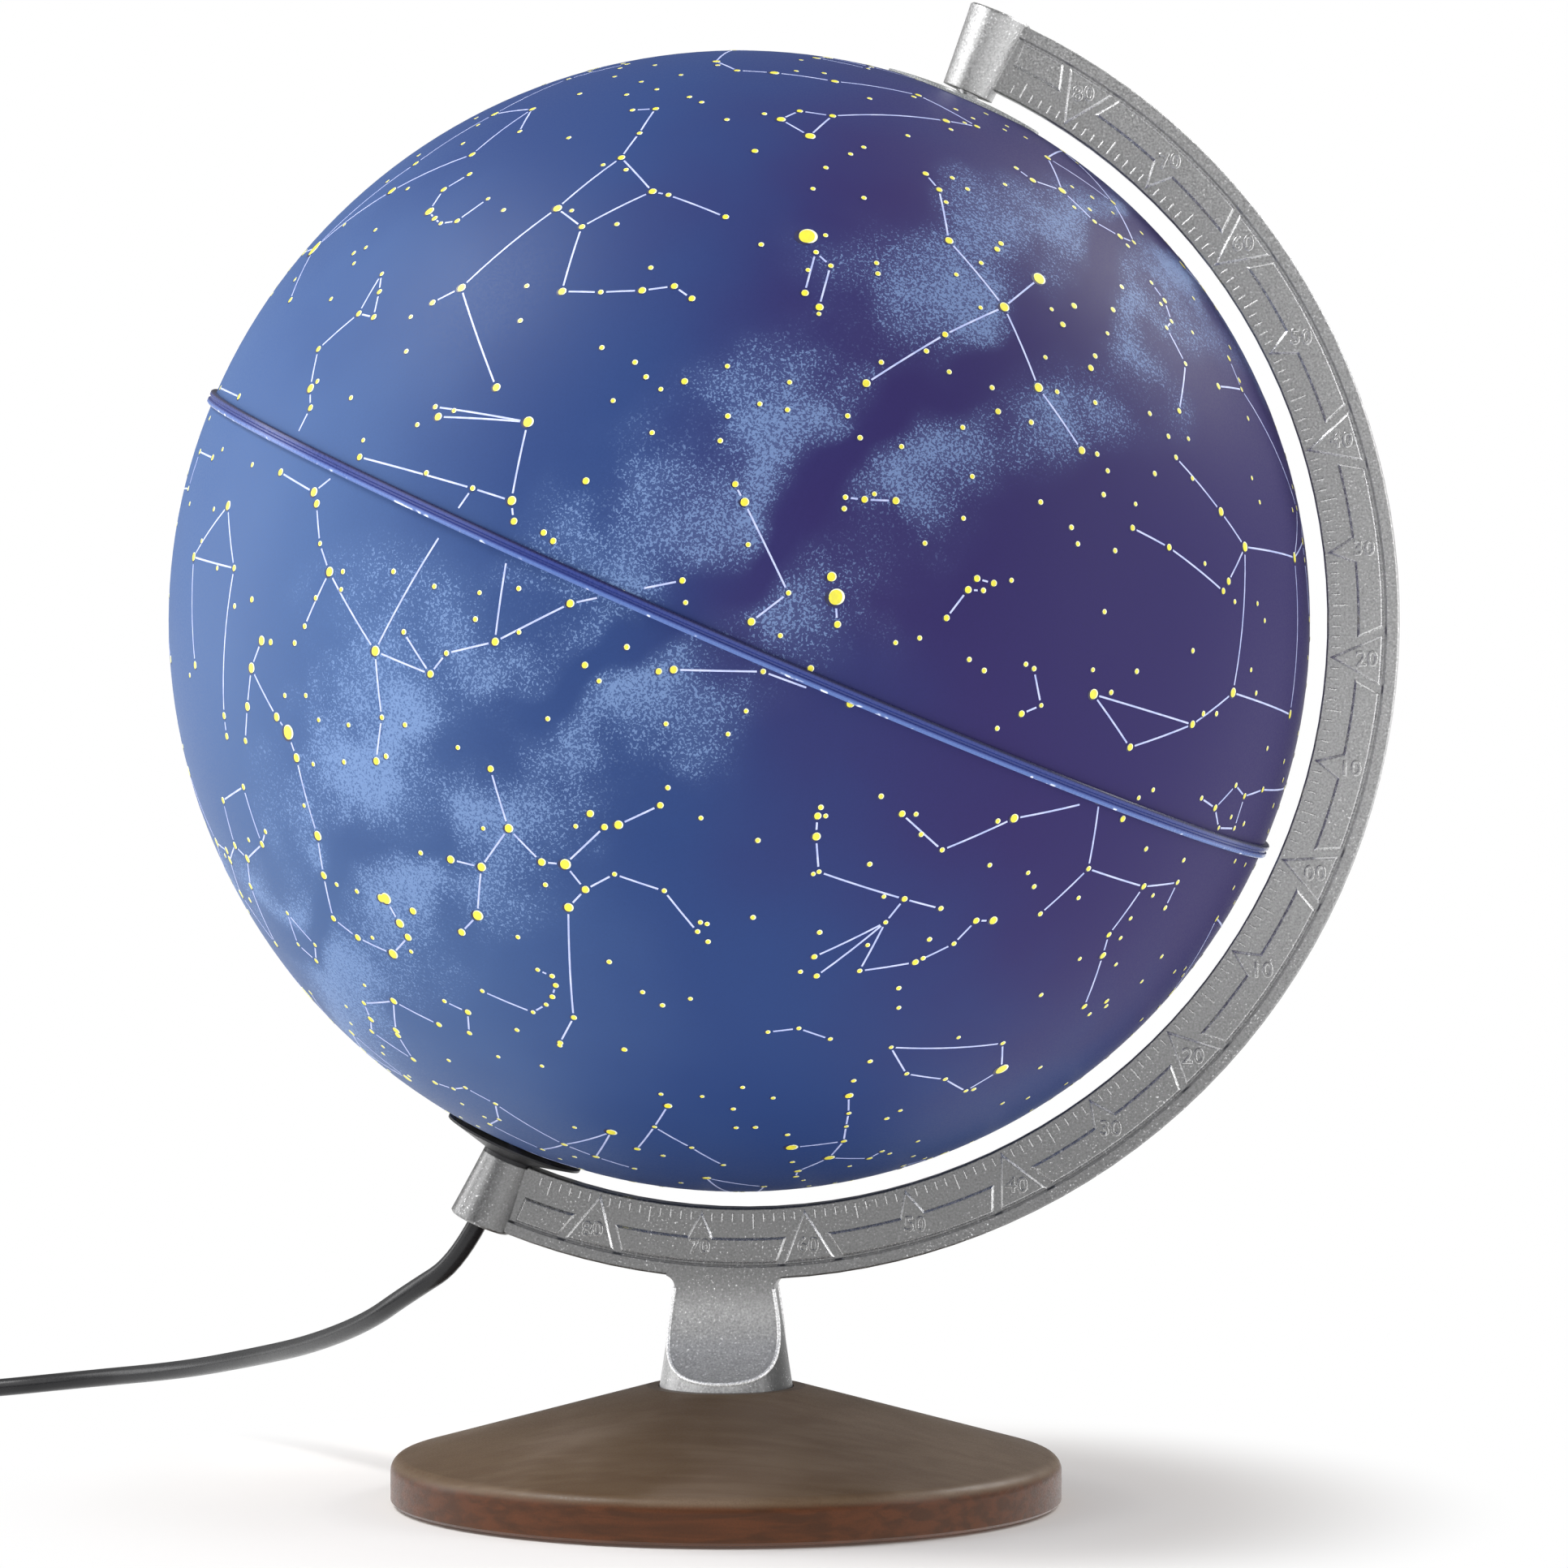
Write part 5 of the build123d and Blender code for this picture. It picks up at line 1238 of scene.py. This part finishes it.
roomLight = {"seen": (1, 1, 1, 1), "front": 0.21, "sides": 0.76, "sidesAt": (0.15, 0.90), "overhead": 0.26,
             "overheadAt": (0.0, 0.9)}
world = bpy.data.worlds.new("studio")
world.use_nodes = True
bpy.context.scene.world = world
w = Nodes(world.node_tree)
backdrop = world.node_tree.nodes["Background"]
backdrop.inputs["Color"].default_value = roomLight["seen"]
glow = w.add("ShaderNodeBackground")
toRoom = w.split(w.add("ShaderNodeTexCoord").outputs["Generated"])
aside = w.ramp(w.math("ABSOLUTE", toRoom["X"]), *roomLight["sidesAt"], roomLight["front"], roomLight["sides"])
above = w.ramp(toRoom["Z"], *roomLight["overheadAt"], 0.0, roomLight["overhead"])
w.link(w.math("ADD", aside, above), glow.inputs["Strength"])
choose = w.add("ShaderNodeMixShader")
w.link(w.add("ShaderNodeLightPath").outputs["Is Camera Ray"], choose.inputs["Fac"])
w.link(glow.outputs[0], choose.inputs[1])
w.link(backdrop.outputs[0], choose.inputs[2])
w.link(choose.outputs[0], world.node_tree.nodes["World Output"].inputs["Surface"])

lamps = {                                                 # place, aim, size in metres, watts
    "keyLeft": ((-1.5, -0.9, 0.8), (0, 0, 0.2), (1.1, 1.4), 11),
    "sideLeft": ((-1.4, 0.35, 0.25), (0, 0, 0.2), (0.5, 1.2), 8),
    "stripRight": ((1.3, -0.30, 0.55), (0.1, 0, 0.22), (0.25, 1.4), 7),
    "rimRight": ((0.95, 0.75, 1.15), (0, 0, 0.2), (0.45, 0.8), 13),
    "topSoft": ((-0.9, -0.25, 1.4), (0, 0, 0.05), (0.6, 0.6), 24),
    "lowFront": ((-0.1, -1.5, 0.12), (0, 0, 0.14), (1.4, 0.25), 10)}
matteOnly = ["lowFront"]                                  # lifts the undersides, and isn't mirrored in the casting
for name, (spot, aim, size, watts) in lamps.items():
    light = bpy.data.lights.new(name, "AREA")
    light.shape = "RECTANGLE"
    light.size, light.size_y = size
    light.energy = watts
    lamp = bpy.data.objects.new(name, light)
    lamp.visible_glossy = name not in matteOnly
    lamp.location = spot
    lamp.rotation_euler = (Vector(aim) - Vector(spot)).to_track_quat("-Z", "Y").to_euler()
    bpy.context.scene.collection.objects.link(lamp)

view = {"turn": 7.0, "distance": 1.600, "height": 0.216, "lens": 139.15, "sensor": 36.0, "shift": (0.0285, -0.0637),
        "clip": (0.05, 200)}
cameraData = bpy.data.cameras.new("front")
cameraData.lens = view["lens"]
cameraData.sensor_width = view["sensor"]
cameraData.shift_x, cameraData.shift_y = view["shift"]
cameraData.clip_start, cameraData.clip_end = view["clip"]
camera = bpy.data.objects.new("front", cameraData)
turn = math.radians(view["turn"])
camera.location = (globeCentre.x + view["distance"] * math.sin(turn), -view["distance"] * math.cos(turn),
                   view["height"])
camera.rotation_euler = (math.pi / 2, 0, turn)
bpy.context.scene.collection.objects.link(camera)
bpy.context.scene.camera = camera
bpy.context.scene.view_settings.view_transform = "Standard"
print("stage ready")
